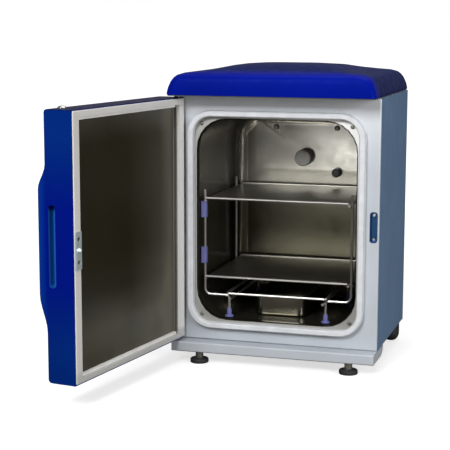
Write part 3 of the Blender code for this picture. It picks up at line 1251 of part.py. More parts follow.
def make_door_plug():
    """Small domed plug on the door's top edge."""
    radius, rise, stem = PLUG_RADIUS, PLUG_RISE, PLUG_STEM_RADIUS
    profile = arc((0, DOOR_TOP + GAP), (radius, rise), 90, 0, 4)
    profile += [(stem, DOOR_TOP + GAP), (stem, DOOR_TOP - DOOR_WALL), (0, DOOR_TOP - DOOR_WALL)]
    place = (door_x(DOOR_WIDTH - PLUG_FROM_EDGE), door_y(PLUG_FROM_FRAME), 0)
    turned("door_top_plug", profile, BRIGHT_STEEL, place, parent=PIVOT, steps=18)


def make_hinge_pins():
    """Collared pins, one in the plinth and one in the top plate, that the door turns on."""
    collar, radius = PIN_COLLAR_RADIUS, PIN_RADIUS
    seat = PANEL_BASE
    profile = [(0, DOOR_BASE + PIN_GRIP), (radius, DOOR_BASE + PIN_GRIP), (radius, DOOR_BASE - GAP),
               (collar, DOOR_BASE - GAP), (collar, seat), (radius, seat), (radius, seat - PLINTH_WALL), (0, seat - PLINTH_WALL)]
    turned("hinge_pin_lower", profile, BRIGHT_STEEL, (PIVOT_X, PIVOT_Y, 0), steps=18)
    seat = PLATE_BASE - GAP
    top = PLATE_BASE + LID_PLATE_THICKNESS
    profile = [(0, top), (radius, top), (radius, seat), (collar, seat), (collar, DOOR_TOP + GAP),
               (radius, DOOR_TOP + GAP), (radius, DOOR_TOP - PIN_GRIP), (0, DOOR_TOP - PIN_GRIP)]
    turned("hinge_pin_upper", profile, BRIGHT_STEEL, (PIVOT_X, PIVOT_Y, 0), steps=18)


def make_controls():
    """Fascia on the door's outer face with a display window and a row of keys."""
    near, far = door_y(DOOR_THICKNESS + GAP), door_y(DOOR_THICKNESS + GAP + FASCIA_THICKNESS)
    left = FASCIA_FROM_HINGE
    centre_z = DOOR_TOP - FASCIA_FROM_TOP - FASCIA_HEIGHT / 2
    centre = (door_x(left + FASCIA_WIDTH / 2), centre_z)
    outline = rounded_rect(FASCIA_WIDTH, FASCIA_HEIGHT, FASCIA_CORNER, centre, 4)
    fascia = put("control_fascia", loft("control_fascia", [at_y(outline, near), at_y(outline, far)]), FASCIA_FILM,
                 parent=PIVOT)
    window = (door_x(left + DISPLAY_FROM_LEFT + DISPLAY_WIDTH / 2), centre_z)
    hole = rounded_rect(DISPLAY_WIDTH + 2 * GAP, DISPLAY_HEIGHT + 2 * GAP, 0.002, window, 2)
    cut(fascia, loft("display_hole", [at_y(hole, near + REACH), at_y(hole, far - REACH)]), PIVOT)
    pane = rounded_rect(DISPLAY_WIDTH, DISPLAY_HEIGHT, 0.002, window, 2)
    put("display_window", loft("display_window", [at_y(pane, near), at_y(pane, far + GAP)]), DISPLAY_GLASS,
        parent=PIVOT)
    keys = [(door_x(left + FASCIA_WIDTH - KEY_FROM_RIGHT - i * KEY_PITCH), centre_z) for i in range(KEY_COUNT)]
    cut(fascia, rods("key_holes", keys, KEY_RADIUS + SLIP, near + REACH, far - REACH, "Y", 20), PIVOT)
    radius, proud = KEY_RADIUS, KEY_PROUD
    thick = FASCIA_THICKNESS - KEY_TRAVEL
    for i, (x, z) in enumerate(keys):
        profile = [(0, thick), (radius, thick), (radius, -proud + 0.0006), (radius - 0.0006, -proud), (0, -proud)]
        turned(f"key_{i + 1}", profile, KEY_FILM, (x, far, z), "Y", PIVOT, 20)


def main():
    make_cabinet_shell()
    make_front_panel()
    make_rear_panel()
    make_base_cover()
    make_front_plinth()
    make_front_feet()
    make_rear_feet()
    make_top_plate()
    make_top_cover()
    make_chamber()
    make_chamber_screws()
    make_insulation()
    make_heater()
    make_door_seal()
    make_strike()
    make_rack_sides()
    make_rack_cradle()
    make_rack_feet()
    make_rack_clips()
    make_shelves()
    make_tray()
    make_port()
    make_sensor()
    make_rear_fittings()
    make_electronics()
    make_door_shell()
    make_door_frame()
    make_door_panel()
    make_latch()
    make_door_plug()
    make_hinge_pins()
    make_controls()


main()
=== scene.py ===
"""Looks for the laboratory incubator: materials, softened edges, studio and camera."""

import json
import math

import bmesh
import bpy
from mathutils import Matrix, Vector

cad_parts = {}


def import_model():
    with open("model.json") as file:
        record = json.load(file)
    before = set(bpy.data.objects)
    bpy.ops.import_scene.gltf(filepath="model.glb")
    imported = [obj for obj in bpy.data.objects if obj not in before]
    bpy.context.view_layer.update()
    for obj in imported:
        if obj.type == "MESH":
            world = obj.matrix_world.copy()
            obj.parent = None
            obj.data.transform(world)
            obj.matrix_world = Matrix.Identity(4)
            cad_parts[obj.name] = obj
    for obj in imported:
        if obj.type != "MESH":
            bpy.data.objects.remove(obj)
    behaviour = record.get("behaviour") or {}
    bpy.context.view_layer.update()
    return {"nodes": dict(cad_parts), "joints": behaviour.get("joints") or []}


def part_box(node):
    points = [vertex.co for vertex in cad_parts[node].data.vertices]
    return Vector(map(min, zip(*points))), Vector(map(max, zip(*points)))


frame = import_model()
NODES = frame["nodes"]
JOINTS = {joint["name"]: joint for joint in frame["joints"]}

# ---- Places, in metres --------------------------------------------------------------------
# A pair of places says where a change of shade starts and where it ends.
# Steps are (distance, level) stops, measured from the start of their strip.

HINGE = Vector(JOINTS["door_hinge"]["pos_m"])
OPEN_TURN = -math.radians(JOINTS["door_hinge"]["range_deg"][1])
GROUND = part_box("foot_pad_front_left")[0].z
PANEL_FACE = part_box("front_panel")[0].y
CHAMBER_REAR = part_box("chamber_liner")[1].y
DOOR_FOOT, DOOR_TOP = (corner.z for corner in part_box("door_shell"))
DOOR_MIDDLE = (DOOR_FOOT + DOOR_TOP) / 2


def middle(node):
    """The centre of a CAD node's box."""
    low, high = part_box(node)
    return (low + high) / 2


def pair(x, z, apart):
    """Two (x, z) places, one above the other, this far apart around a height."""
    return (x, z - apart / 2), (x, z + apart / 2)


# Painted light: the front panel is paler between these heights.
PANEL_PAINTED_LIGHT = (0.36, 0.50)  # heights
# Painted shade on the lid's top, behind its front edge.
LID_PAINTED_SHADE = (PANEL_FACE - 0.045, PANEL_FACE - 0.005)
# A painted highlight along the shelves' front edges.
SHELF_EDGE_PAINTED_HIGHLIGHT = (PANEL_FACE + 0.0065, PANEL_FACE + 0.0055)
STRIKE_SCREWS = pair(middle("strike_cup").x, middle("strike_cup").z, 0.049)
STRIKE_SCREW_RADIUS = 0.0031

# Painted light: the chamber's walls are paler between these heights.
WALL_PAINTED_LIGHT = (0.25, 0.33)  # heights
# Painted light: the flange grows paler towards the upper right.
FLANGE_PAINTED_LIGHT_ACROSS = (-0.10, 0.12)
FLANGE_PAINTED_LIGHT_UP = (0.15, 0.40)
MOUTH = 0.02  # the strip's depth, from the front panel's face into the chamber
FLANGE_STEPS = ((0.0, 1.0), (0.0006, 1.0), (0.001, 0.0))
# Painted shade just inside the lip.
LIP_PAINTED_SHADE_STEPS = ((0.0, 0.0), (0.0007, 0.0), (0.001, 1.0), (0.0068, 1.0), (0.011, 0.0))

# Places on the door are in its own axes: x along its width from the hinge, y towards the
# cabinet when it is shut, z up.
# Painted shade midway up the door's shell, fading out towards its ends.
SHELL_ENDS = (DOOR_FOOT + 0.051, DOOR_TOP - 0.045)
SHELL_PAINTED_SHADE_FADE = (0.35, 0.95)  # shares of the way from their middle to either end
# Painted shade on the shell's top face.
SHELL_TOP_PAINTED_SHADE = (DOOR_TOP - 0.002, DOOR_TOP)
# Painted light on the shell's bulge.
BULGE_PAINTED_LIGHT = (-0.047, -0.062)
# Painted light inside the grip's slot.
SLOT_INWARDS = (0.4146, 0.4130)
SLOT_SIDES = (-0.0446, -0.0266)
SLOT_FOOT = (DOOR_MIDDLE - 0.074, DOOR_MIDDLE - 0.071)
SLOT_HEAD = (DOOR_MIDDLE + 0.074, DOOR_MIDDLE + 0.065)
# Painted light on the door's frame towards the hinge, and painted shade along its foot.
FRAME_PAINTED_LIGHT = (0.06, 0.01)
FRAME_FOOT_PAINTED_SHADE = (DOOR_FOOT + 0.027, DOOR_FOOT + 0.017)
# Painted shade in the latch plate's screw holes.
LATCH_HOLES_PAINTED_SHADE = pair(0.4029, middle("latch_plate").z, 0.042)
LATCH_HOLE_SHADE_RADIUS = 0.005
# Painted light on the door's dark sheet: paler towards the hinge, the top, the bottom and in a low band.
SHEET_PAINTED_LIGHT_WIDE = (0.20, 0.02)
SHEET_PAINTED_LIGHT_NARROW = (0.075, 0.03)
SHEET_PAINTED_LIGHT_DOWNWARDS = (0.28, 0.10)
SHEET_PAINTED_LIGHT_FOOT = (0.16, 0.03)
SHEET_PAINTED_LIGHT_HEAD = (0.44, 0.50)
SHEET_PAINTED_LIGHT_BAND = (0.02, 0.16)
HINGE_STRIP = 0.04  # the strip's width, from the hinge's axis
# Painted light and shade of the trim's steps.
TRIM_PAINTED_SHADE_STEPS = ((0.0, 0.42), (0.0145, 0.38), (0.0152, 0.12), (0.0200, 0.12), (0.0210, 1.0))
# A painted shadow line and painted light on the sheet beside the hinge, where the trim steps.
SHEET_PAINTED_LIGHT_STEPS = ((0.0, 1.0), (0.0188, 1.0), (0.0194, 0.0), (0.0400, 0.0))
SHEET_PAINTED_SHADOW_STEPS = ((0.0, 0.0), (0.0192, 0.0), (0.0198, 0.8), (0.0208, 0.8), (0.0214, 0.0))

# ---- Node helpers -------------------------------------------------------------------------

CLOUDY = (0.3, 0.7)  # from a noise's dark parts to its bright ones


class Finish:
    """A material being built: its nodes, and short ways to add more."""

    def __init__(self, name, colour, roughness, metallic=0.0):
        self.made = bpy.data.materials.new(name)
        self.made.use_nodes = True
        self.tree = self.made.node_tree
        self.shader = self.tree.nodes["Principled BSDF"]
        self.colour = colour
        self.roughness = roughness
        self.set("Base Color", (*colour, 1.0))
        self.set("Roughness", roughness)
        self.set("Metallic", metallic)

    def set(self, name, value):
        """Sets one of the shader's inputs, to a constant or from a socket."""
        self.feed(self.shader.inputs[name], value)

    def feed(self, socket, value):
        if isinstance(value, bpy.types.NodeSocket):
            self.tree.links.new(value, socket)
        else:
            socket.default_value = value

    def node(self, kind, inputs=(), **settings):
        made = self.tree.nodes.new(kind)
        for key, value in settings.items():
            setattr(made, key, value)
        for key, value in dict(inputs).items():
            self.feed(made.inputs[key], value)
        return made

    def place(self, scale=(1.0, 1.0, 1.0), door=False):
        """Object coordinates in metres, turned into the door's axes if it is a door piece."""
        spot = self.node("ShaderNodeTexCoord").outputs["Object"]
        if door:
            turned = {"Vector": spot, "Location": (HINGE.x, HINGE.y, 0.0),
                      "Rotation": (0.0, 0.0, OPEN_TURN)}
            spot = self.node("ShaderNodeMapping", turned, vector_type="TEXTURE").outputs["Vector"]
        if scale != (1.0, 1.0, 1.0):
            spot = self.node("ShaderNodeMapping", {"Vector": spot, "Scale": scale}).outputs["Vector"]
        return spot

    def noise(self, spot, scale, detail, roughness=0.5):
        """A cloudy noise, most of which lies within the CLOUDY span."""
        settings = {"Vector": spot, "Scale": scale, "Detail": detail, "Roughness": roughness}
        return self.node("ShaderNodeTexNoise", settings).outputs["Fac"]

    def spread(self, value, span, levels=(0.0, 1.0)):
        """Goes from the first level to the second while the value goes over the span."""
        settings = {"Value": value, "From Min": span[0], "From Max": span[1],
                    "To Min": levels[0], "To Max": levels[1]}
        return self.node("ShaderNodeMapRange", settings).outputs["Result"]

    def along(self, spot, axis, span, levels=(0.0, 1.0)):
        """Goes from the first level to the second between two places along an axis."""
        parts = self.node("ShaderNodeSeparateXYZ", {"Vector": spot}).outputs
        return self.spread(parts[axis], span, levels)

    def from_middle(self, spot, axis, span):
        """0 midway between two places along an axis, and 1 at both and beyond."""
        return self.maths("ABSOLUTE", self.along(spot, axis, span, (-1.0, 1.0)))

    def steps(self, spot, axis, start, length, stops):
        """Levels at (distance, level) stops along an axis, in a strip of this length."""
        made = self.node("ShaderNodeValToRGB", {"Fac": self.along(spot, axis, (start, start + length))})
        points = made.color_ramp.elements
        while len(points) < len(stops):
            points.new(0.5)
        for point, (distance, level) in zip(points, stops):
            point.position = distance / length
            point.color = (level, level, level, 1.0)
        return made.outputs["Color"]

    def spots(self, spot, centres, radius):
        """1 within this distance, across x and z, of any of the centres, and 0 elsewhere."""
        parts = self.node("ShaderNodeSeparateXYZ", {"Vector": spot}).outputs
        flat = self.node("ShaderNodeCombineXYZ", {"X": parts["X"], "Z": parts["Z"]}).outputs["Vector"]
        found = 0.0
        for x, z in centres:
            ends = {0: flat, 1: (x, 0.0, z)}
            away = self.node("ShaderNodeVectorMath", ends, operation="DISTANCE").outputs["Value"]
            found = self.maths("MAXIMUM", found, self.spread(away, (radius, radius * 0.8)))
        return found

    def blend(self, factor, first, second, mode="MIX"):
        made = self.node("ShaderNodeMix", data_type="RGBA", blend_type=mode)
        self.feed(made.inputs["Factor"], factor)
        for key, value in (("A", first), ("B", second)):
            socket = next(s for s in made.inputs if s.name == key and s.type == "RGBA")
            self.feed(socket, (*value, 1.0) if isinstance(value, tuple) else value)
        return next(s for s in made.outputs if s.type == "RGBA")

    def maths(self, operation, first, second=0.0):
        made = self.node("ShaderNodeMath", operation=operation)
        self.feed(made.inputs[0], first)
        self.feed(made.inputs[1], second)
        return made.outputs["Value"]

    def total(self, *weighted):
        """The sum of (value, weight) pairs."""
        added = 0.0
        for value, weight in weighted:
            added = self.maths("ADD", added, self.maths("MULTIPLY", value, weight))
        return added

    def mottled(self, spot, scale, amount):
        """The base colour, a little darker or paler from place to place."""
        dark = tuple(channel * (1 - amount) for channel in self.colour)
        pale = tuple(min(1.0, channel * (1 + amount)) for channel in self.colour)
        return self.blend(self.spread(self.noise(spot, scale, detail=4.0), CLOUDY), dark, pale)

    def uneven_gloss(self, cloud, smoother, rougher, span=CLOUDY):
        """Roughness from a little below to a little above its own value, as a noise goes over the span."""
        levels = (self.roughness - smoother, self.roughness + rougher)
        self.set("Roughness", self.spread(cloud, span, levels))

    def bump(self, height, depth, strength):
        """Adds relief of this depth in metres."""
        relief = {"Height": height, "Strength": strength, "Distance": depth}
        self.set("Normal", self.node("ShaderNodeBump", relief).outputs["Normal"])


# ---- Tones by place -----------------------------------------------------------------------
# Each gives the shade at a spot, from the finish's own mottled shade there; all but the strike's screws
# add painted light and shade.


def panel_painted_light(finish, spot, shade):
    """The front panel is paler high up: painted light."""
    return finish.blend(finish.along(spot, "Z", PANEL_PAINTED_LIGHT), shade, (0.60, 0.63, 0.67))


def lid_painted_shade(finish, spot, shade):
    """The lid is deeper blue behind its front edge: painted shade on its top."""
    return finish.blend(finish.along(spot, "Y", LID_PAINTED_SHADE), shade, (0.0020, 0.0075, 0.065))


def inside_slot(finish, spot):
    """1 on the walls of the grip's slot in the door's free edge, where painted light goes, fading towards
    its upper end.

    Nothing ends it short of the hinge, so it is also 1 at the same heights on the hinge-side edge.
    """
    inwards = finish.along(spot, "X", SLOT_INWARDS)
    between_ends = finish.maths("MULTIPLY", finish.along(spot, "Z", SLOT_FOOT),
                                finish.along(spot, "Z", SLOT_HEAD))
    between_sides = finish.spread(finish.from_middle(spot, "Y", SLOT_SIDES), (1.0, 0.95))
    return finish.maths("MULTIPLY", finish.maths("MULTIPLY", inwards, between_ends), between_sides)


def shell_painted_light_and_shade(finish, spot, shade):
    """The door's shell, in painted light and shade: deeper midway up, paler on the bulge, darker on the
    top and lit inside the slot.
    """
    towards_ends = finish.spread(finish.from_middle(spot, "Z", SHELL_ENDS), SHELL_PAINTED_SHADE_FADE)
    shade = finish.blend(towards_ends, (0.0004, 0.006, 0.175), shade)
    shade = finish.blend(finish.along(spot, "Y", BULGE_PAINTED_LIGHT), shade, (0.001, 0.030, 0.24))
    shade = finish.blend(finish.along(spot, "Z", SHELL_TOP_PAINTED_SHADE), shade, (0.002, 0.004, 0.04))
    return finish.blend(inside_slot(finish, spot), shade, (0.011, 0.095, 0.36))


def frame_painted_light_and_shade(finish, spot, shade):
    """The door's frame: paler by the hinge (painted light), dimmer at the foot and dark in the latch
    plate's screw holes (painted shade).
    """
    shade = finish.blend(finish.along(spot, "X", FRAME_PAINTED_LIGHT), shade, (0.70, 0.69, 0.66))
    shade = finish.blend(finish.along(spot, "Z", FRAME_FOOT_PAINTED_SHADE), shade, (0.45, 0.45, 0.44))
    return finish.blend(finish.spots(spot, LATCH_HOLES_PAINTED_SHADE, LATCH_HOLE_SHADE_RADIUS), shade, (0.02, 0.018, 0.012))


def trim_painted_shade(finish, spot, shade):
    """The door's trim has stepped grey lines beside the hinge: painted light and shade of its steps."""
    return finish.blend(1.0, shade, finish.steps(spot, "X", 0.0, HINGE_STRIP, TRIM_PAINTED_SHADE_STEPS), "MULTIPLY")


def shelf_painted_highlight(finish, spot, shade):
    """The shelves have a paler front edge: a painted highlight."""
    return finish.blend(finish.along(spot, "Y", SHELF_EDGE_PAINTED_HIGHLIGHT), shade, (0.62, 0.61, 0.58))


def strike_tones(finish, spot, shade):
    """The strike cup has pale screws."""
    return finish.blend(finish.spots(spot, STRIKE_SCREWS, STRIKE_SCREW_RADIUS), shade, (0.60, 0.58, 0.53))


# ---- Materials ----------------------------------------------------------------------------
# Each finish's roughness drifts on one side of 0.27. Where one drifted across it, sharp marks
# showed in the reflections.


def shaded(finish, spot, tones, scale, amount):
    """Colours a finish: mottled at this scale, by this amount, then with its tones by place, if any."""
    shade = finish.mottled(spot, scale, amount)
    finish.set("Base Color", tones(finish, spot, shade) if tones else shade)


def painted(name, colour, roughness=0.42, tones=None, door=False):
    """Stove-enamelled sheet with a faint orange peel."""
    finish = Finish(name, colour, roughness)
    spot = finish.place(door=door)
    shaded(finish, spot, tones, scale=9.0, amount=0.05)
    smudges = finish.noise(spot, scale=30.0, detail=4.0)
    finish.uneven_gloss(smudges, smoother=0.06, rougher=0.08, span=(0.3, 0.75))
    finish.bump(finish.noise(spot, scale=900.0, detail=2.0), depth=0.00002, strength=0.5)
    return finish


def moulded(name, colour, roughness, tones, door=False):
    """Glossy moulded plastic with a fine texture and a faint blue gloss."""
    finish = Finish(name, colour, roughness)
    finish.set("Specular IOR Level", 0.05)
    finish.set("Specular Tint", (0.25, 0.45, 1.0, 1.0))
    spot = finish.place(door=door)
    shaded(finish, spot, tones, scale=6.0, amount=0.12)
    smudges = finish.noise(spot, scale=60.0, detail=5.0)
    finish.uneven_gloss(smudges, smoother=0.05, rougher=0.10, span=(0.25, 0.75))
    finish.bump(finish.noise(spot, scale=1400.0, detail=2.0), depth=0.00002, strength=0.5)
    return finish


def rubbery(name, colour, roughness, tones=None, door=False):
    """Silicone, rubber or soft plastic."""
    finish = Finish(name, colour, roughness)
    spot = finish.place(door=door)
    shaded(finish, spot, tones, scale=40.0, amount=0.08)
    smudges = finish.noise(spot, scale=120.0, detail=4.0)
    finish.uneven_gloss(smudges, smoother=0.08, rougher=0.12)
    finish.bump(finish.noise(spot, scale=1800.0, detail=3.0), depth=0.00002, strength=0.6)
    return finish


def metal(name, colour, roughness, grain=(1.0, 1.0, 1.0), depth=0.000004, tones=None, door=False):
    """Steel with a drawn grain: stretch the grain by giving one axis a small scale."""
    finish = Finish(name, colour, roughness, metallic=1.0)
    spot = finish.place(door=door)
    shaded(finish, spot, tones, scale=14.0, amount=0.06)
    streaks = finish.noise(finish.place(grain, door), scale=1500.0, detail=3.0, roughness=0.6)
    smears = finish.noise(spot, scale=18.0, detail=5.0, roughness=0.6)
    finish.uneven_gloss(finish.total((streaks, 0.4), (smears, 0.6)), smoother=0.06, rougher=0.10)
    if depth:
        finish.bump(streaks, depth, strength=0.6)
    return finish


def chamber_steel():
    """Drawn steel: glossy inside and paler high up (painted light), dark behind the lip (painted shade),
    with a paler, duller flange whose painted light grows towards the upper right.
    """
    finish = Finish("chamber_steel", (0.34, 0.325, 0.275), 0.17, metallic=0.85)
    spot = finish.place()
    wall = finish.blend(finish.along(spot, "Z", WALL_PAINTED_LIGHT), (0.095, 0.09, 0.065), (0.42, 0.41, 0.375))
    stain = finish.spread(finish.noise(spot, scale=9.0, detail=4.0), CLOUDY, (0.0, 0.35))
    wall = finish.blend(stain, wall, (0.10, 0.095, 0.07))
    lip = finish.steps(spot, "Y", PANEL_FACE, MOUTH, LIP_PAINTED_SHADE_STEPS)
    inside = finish.blend(lip, wall, (0.055, 0.05, 0.035))
    flange_painted_light = finish.maths("MULTIPLY", finish.along(spot, "X", FLANGE_PAINTED_LIGHT_ACROSS),
                       finish.along(spot, "Z", FLANGE_PAINTED_LIGHT_UP))
    rim = finish.blend(flange_painted_light, (0.40, 0.40, 0.38), (0.84, 0.85, 0.84))
    flange = finish.steps(spot, "Y", PANEL_FACE, MOUTH, FLANGE_STEPS)
    finish.set("Base Color", finish.blend(flange, inside, rim))
    smears = finish.noise(spot, scale=14.0, detail=5.0, roughness=0.6)
    gloss = finish.spread(smears, CLOUDY, (0.15, 0.26))
    finish.set("Roughness", finish.total((gloss, 1.0), (flange, 0.34)))
    return finish


def door_sheet():
    """Dark olive sheet, glossy, with painted light paler towards the hinge, the top and the bottom, and a
    painted shadow line and painted light beside the hinge.
    """
    finish = Finish("door_panel_steel", (0.016, 0.013, 0.006), 0.3)
    finish.set("Specular IOR Level", 0.3)
    spot = finish.place(door=True)
    cloud = finish.noise(spot, scale=7.0, detail=5.0, roughness=0.55)
    wide = finish.maths("MULTIPLY", finish.along(spot, "X", SHEET_PAINTED_LIGHT_WIDE),
                        finish.along(spot, "Z", SHEET_PAINTED_LIGHT_DOWNWARDS, (0.45, 1.15)))
    narrow = finish.along(spot, "X", SHEET_PAINTED_LIGHT_NARROW)
    foot = finish.along(spot, "Z", SHEET_PAINTED_LIGHT_FOOT)
    head = finish.along(spot, "Z", SHEET_PAINTED_LIGHT_HEAD)
    band = finish.maths("SUBTRACT", 1.0, finish.from_middle(spot, "Z", SHEET_PAINTED_LIGHT_BAND))
    painted_sheet_light = finish.total((wide, 0.62), (narrow, 0.434), (foot, 0.30), (head, 0.35), (band, 0.25))
    painted_sheet_light = finish.maths("MULTIPLY", painted_sheet_light, finish.spread(cloud, CLOUDY, (0.55, 1.45)))
    shade = finish.blend(finish.maths("MINIMUM", painted_sheet_light, 1.0), (0.015, 0.012, 0.005), (0.10, 0.094, 0.07))
    # Painted shadow line and painted light beside the hinge.
    line = finish.steps(spot, "X", 0.0, HINGE_STRIP, SHEET_PAINTED_SHADOW_STEPS)
    shade = finish.blend(line, shade, (0.012, 0.010, 0.005))
    edge = finish.steps(spot, "X", 0.0, HINGE_STRIP, SHEET_PAINTED_LIGHT_STEPS)
    finish.set("Base Color", finish.blend(edge, shade, (0.25, 0.245, 0.22)))
    finish.set("Roughness", finish.spread(cloud, CLOUDY, (0.30, 0.45)))
    finish.bump(finish.noise(spot, scale=60.0, detail=2.0), depth=0.00001, strength=0.4)
    return finish


def display_glass():
    """Black glass with faint smudges."""
    finish = Finish("display_glass_black", (0.006, 0.008, 0.009), 0.08)
    smudges = finish.noise(finish.place(), scale=50.0, detail=4.0)
    finish.uneven_gloss(smudges, smoother=0.03, rougher=0.06)
    return finish


# Each finish with the CAD nodes that wear it. A finish takes its name, colour and roughness.
FINISHES = (
    (painted("side_enamel", (0.095, 0.17, 0.29)), ("cabinet_shell", "rear_panel")),
    (painted("grey_enamel", (0.405, 0.435, 0.475), tones=panel_painted_light),
     ("front_panel", "front_plinth", "base_cover")),
    # The top plate's dark enamel also stands in for the shade in the gap under the lid: painted shade.
    (painted("plate_enamel", (0.05, 0.055, 0.07), 0.6), ("top_plate",)),
    (painted("door_frame_enamel", (0.56, 0.55, 0.53), tones=frame_painted_light_and_shade, door=True), ("door_frame",)),
    (painted("fascia_film_grey", (0.38, 0.39, 0.40), 0.35, door=True), ("control_fascia",)),

    (moulded("blue_gloss", (0.0004, 0.0055, 0.20), 0.42, lid_painted_shade), ("top_cover",)),
    (moulded("blue_gloss_door", (0.0006, 0.017, 0.15), 0.34, shell_painted_light_and_shade, door=True), ("door_shell",)),

    (chamber_steel(), ("chamber_liner",)),
    (door_sheet(), ("door_panel",)),
    (metal("shelf_steel", (0.22, 0.21, 0.18), 0.36, (1.0, 0.02, 1.0), depth=0.0, tones=shelf_painted_highlight),
     ("shelf_upper", "shelf_lower")),
    (metal("wire_steel", (0.40, 0.39, 0.37), 0.40), ("rack_side_left", "rack_side_right", "rack_cradle")),
    (metal("tray_steel", (0.24, 0.23, 0.20), 0.16, depth=0.0), ("water_tray",)),
    (metal("screw_steel", (0.24, 0.235, 0.21), 0.36),
     ("flange_screw_upper_left", "flange_screw_upper_right", "flange_screw_lower_left",
      "flange_screw_lower_right", "wall_bolt_left", "wall_bolt_right")),
    (metal("polished_steel", (0.72, 0.72, 0.72), 0.16),
     ("foot_stem_front_left", "foot_stem_front_right", "gas_inlet", "power_supply", "door_top_plug")),
    (metal("dull_steel", (0.16, 0.16, 0.15), 0.4), ("hinge_pin_lower", "hinge_pin_upper")),
    (metal("latch_steel", (0.78, 0.90, 1.0), 0.5, (1.0, 1.0, 0.05), door=True),
     ("latch_plate", "latch_bolt")),
    (metal("strike_steel_blue", (0.04, 0.11, 0.26), 0.35, tones=strike_tones), ("strike_cup",)),

    (rubbery("seal_silicone_white", (0.56, 0.58, 0.61), 0.55), ("door_seal",)),
    (rubbery("trim_silicone_white", (0.66, 0.66, 0.64), 0.55, trim_painted_shade, door=True), ("door_trim",)),
    (rubbery("clip_silicone_blue", (0.10, 0.105, 0.27), 0.5),
     ("rack_foot_front_left", "rack_foot_front_right", "rack_foot_rear_left", "rack_foot_rear_right",
      "rack_clip_upper", "rack_clip_lower")),
    (rubbery("plug_silicone_grey", (0.50, 0.50, 0.49), 0.6), ("port_plug",)),
    (rubbery("foot_rubber_black", (0.012, 0.012, 0.014), 0.65),
     ("foot_pad_front_left", "foot_pad_front_right", "foot_rear_left", "foot_rear_right")),
    (rubbery("plastic_black", (0.016, 0.016, 0.018), 0.45),
     ("port_tube", "sensor_cap", "power_inlet", "rocker_switch")),
    (rubbery("fibre_blanket", (0.72, 0.68, 0.5), 0.9), ("insulation", "door_insulation")),
    (rubbery("heater_silicone", (0.45, 0.08, 0.03), 0.7), ("heater_mat",)),
    (rubbery("circuit_board", (0.01, 0.12, 0.04), 0.5), ("control_board",)),
    (rubbery("key_film_blue", (0.06, 0.09, 0.34), 0.4, door=True), ("key_1", "key_2", "key_3")),
    (display_glass(), ("display_window",)),
)

WELD_GAP = 0.00001
CREASE_ANGLE = math.radians(35)
BEVELS = {
    "front_plinth": 0.0008, "cabinet_shell": 0.0004, "rear_panel": 0.0004, "latch_plate": 0.0003,
    "control_fascia": 0.0006, "rocker_switch": 0.0008, "power_inlet": 0.0006, "base_cover": 0.0004,
    "top_plate": 0.0004,
}


def dress(node, finish):
    """Gives a CAD node its material, softened edges and smooth shading."""
    piece = NODES[node]
    mesh = piece.data
    if mesh.attributes.get("custom_normal"):
        mesh.attributes.remove(mesh.attributes["custom_normal"])
    mesh.shade_smooth()
    mesh.materials.clear()
    mesh.materials.append(finish.made)
    weld = piece.modifiers.new("Weld", "WELD")
    weld.merge_threshold = WELD_GAP
    if node in BEVELS:
        soften = piece.modifiers.new("Edges", "BEVEL")
        soften.width = BEVELS[node]
        soften.segments = 2
        soften.limit_method = "ANGLE"
        soften.angle_limit = CREASE_ANGLE
    split = piece.modifiers.new("Creases", "EDGE_SPLIT")
    split.split_angle = CREASE_ANGLE
    # This keeps the triangles' edges out of the reflections in flat sheet.
    level = piece.modifiers.new("Level faces", "WEIGHTED_NORMAL")
    level.weight = 100
    level.keep_sharp = True


for finish, names in FINISHES:
    for name in names:
        dress(name, finish)

# ---- Studio -------------------------------------------------------------------------------

FLOOR_HALF_SIZE = 30.0
FLOOR_GLOW = (0.5, 2.5)  # distances from the origin over which the paper grows brighter


def linked(name, data):
    """Puts new data in the scene as an object of the same name."""
    made = bpy.data.objects.new(name, data)
    bpy.context.scene.collection.objects.link(made)
    return made


def floor():
    """Pale paper: plain to the camera, and dim where the object reflects it."""
    bm = bmesh.new()
    bmesh.ops.create_grid(bm, x_segments=1, y_segments=1, size=FLOOR_HALF_SIZE)
    mesh = bpy.data.meshes.new("studio_floor")
    bm.to_mesh(mesh)
    bm.free()
    made = linked("studio_floor", mesh)
    made.location.z = GROUND
    paper = Finish("studio_paper", (0.50, 0.50, 0.50), 0.9)
    spot = paper.place()
    seen = paper.node("ShaderNodeLightPath").outputs["Is Camera Ray"]
    plain = paper.mottled(spot, scale=2.0, amount=0.01)
    paper.set("Base Color", paper.blend(seen, (0.11, 0.10, 0.085), plain))
    paper.set("Specular IOR Level", 0.0)
    paper.set("Emission Color", (1.0, 1.0, 1.0, 1.0))
    distance = paper.node("ShaderNodeVectorMath", {0: spot}, operation="LENGTH").outputs["Value"]
    glow = paper.spread(distance, FLOOR_GLOW, (0.66, 1.0))
    paper.set("Emission Strength", paper.maths("MULTIPLY", seen, glow))
    mesh.materials.append(paper.made)


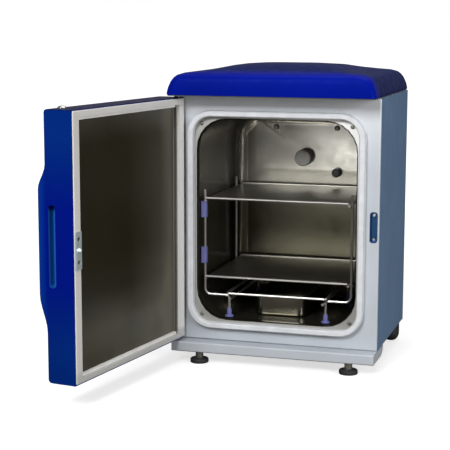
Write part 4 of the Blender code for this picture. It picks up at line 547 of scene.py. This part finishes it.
def world():
    """White to the camera, and a soft warm grey as light."""
    made = bpy.data.worlds.new("studio")
    bpy.context.scene.world = made
    made.use_nodes = True
    nodes, links = made.node_tree.nodes, made.node_tree.links
    path = nodes.new("ShaderNodeLightPath")
    mix = nodes.new("ShaderNodeMix")
    mix.data_type = "RGBA"
    as_light, as_seen = [s for s in mix.inputs if s.type == "RGBA"]
    as_light.default_value = (0.26, 0.25, 0.235, 1.0)
    as_seen.default_value = (1.0, 1.0, 1.0, 1.0)
    links.new(path.outputs["Is Camera Ray"], mix.inputs["Factor"])
    mixed = next(s for s in mix.outputs if s.type == "RGBA")
    links.new(mixed, nodes["Background"].inputs["Color"])


def softbox(name, place, target, size, watts):
    """A rectangular lamp at a place, facing a target."""
    lamp = bpy.data.lights.new(name, "AREA")
    lamp.shape = "RECTANGLE"
    lamp.size, lamp.size_y = size
    lamp.energy = watts
    made = linked(name, lamp)
    made.location = place
    made.rotation_euler = (Vector(target) - Vector(place)).to_track_quat("-Z", "Y").to_euler()


def camera(place, yaw, pitch, roll, lens):
    """The photo's view: angles in radians, the lens in millimetres."""
    forward = Vector((math.sin(yaw) * math.cos(pitch), math.cos(yaw) * math.cos(pitch), -math.sin(pitch)))
    right = Vector((math.cos(yaw), -math.sin(yaw), 0.0))
    up = right.cross(forward)
    across = right * math.cos(roll) + up * math.sin(roll)
    upward = up * math.cos(roll) - right * math.sin(roll)
    optics = bpy.data.cameras.new("photo_camera")
    optics.lens = lens
    optics.sensor_width = 36.0
    made = linked("photo_camera", optics)
    turn = Matrix((across, upward, -forward)).transposed().to_4x4()
    made.matrix_world = Matrix.Translation(place) @ turn
    bpy.context.scene.camera = made


MIDDLE = (0.0, -0.1, 0.25)
UPPER_MIDDLE = (0.0, 0.0, 0.4)
REAR_WALL = (0.085, CHAMBER_REAR, 0.343)

floor()
world()
camera((0.6764, -2.7359, 0.6708), yaw=-0.2945, pitch=0.1563, roll=0.0016, lens=107.21)
softbox("key_light", (-0.6, -3.0, 2.0), MIDDLE, (1.1, 1.1), 96.0)
softbox("fill_light", (2.6, -1.7, 0.9), MIDDLE, (1.4, 1.4), 62.0)
softbox("top_light", (0.2, 0.2, 3.2), UPPER_MIDDLE, (2.4, 2.4), 45.0)
softbox("low_card", (-0.457, -2.5, 0.042), REAR_WALL, (0.25, 0.05), 1.10)
bpy.context.scene.view_settings.view_transform = "Standard"
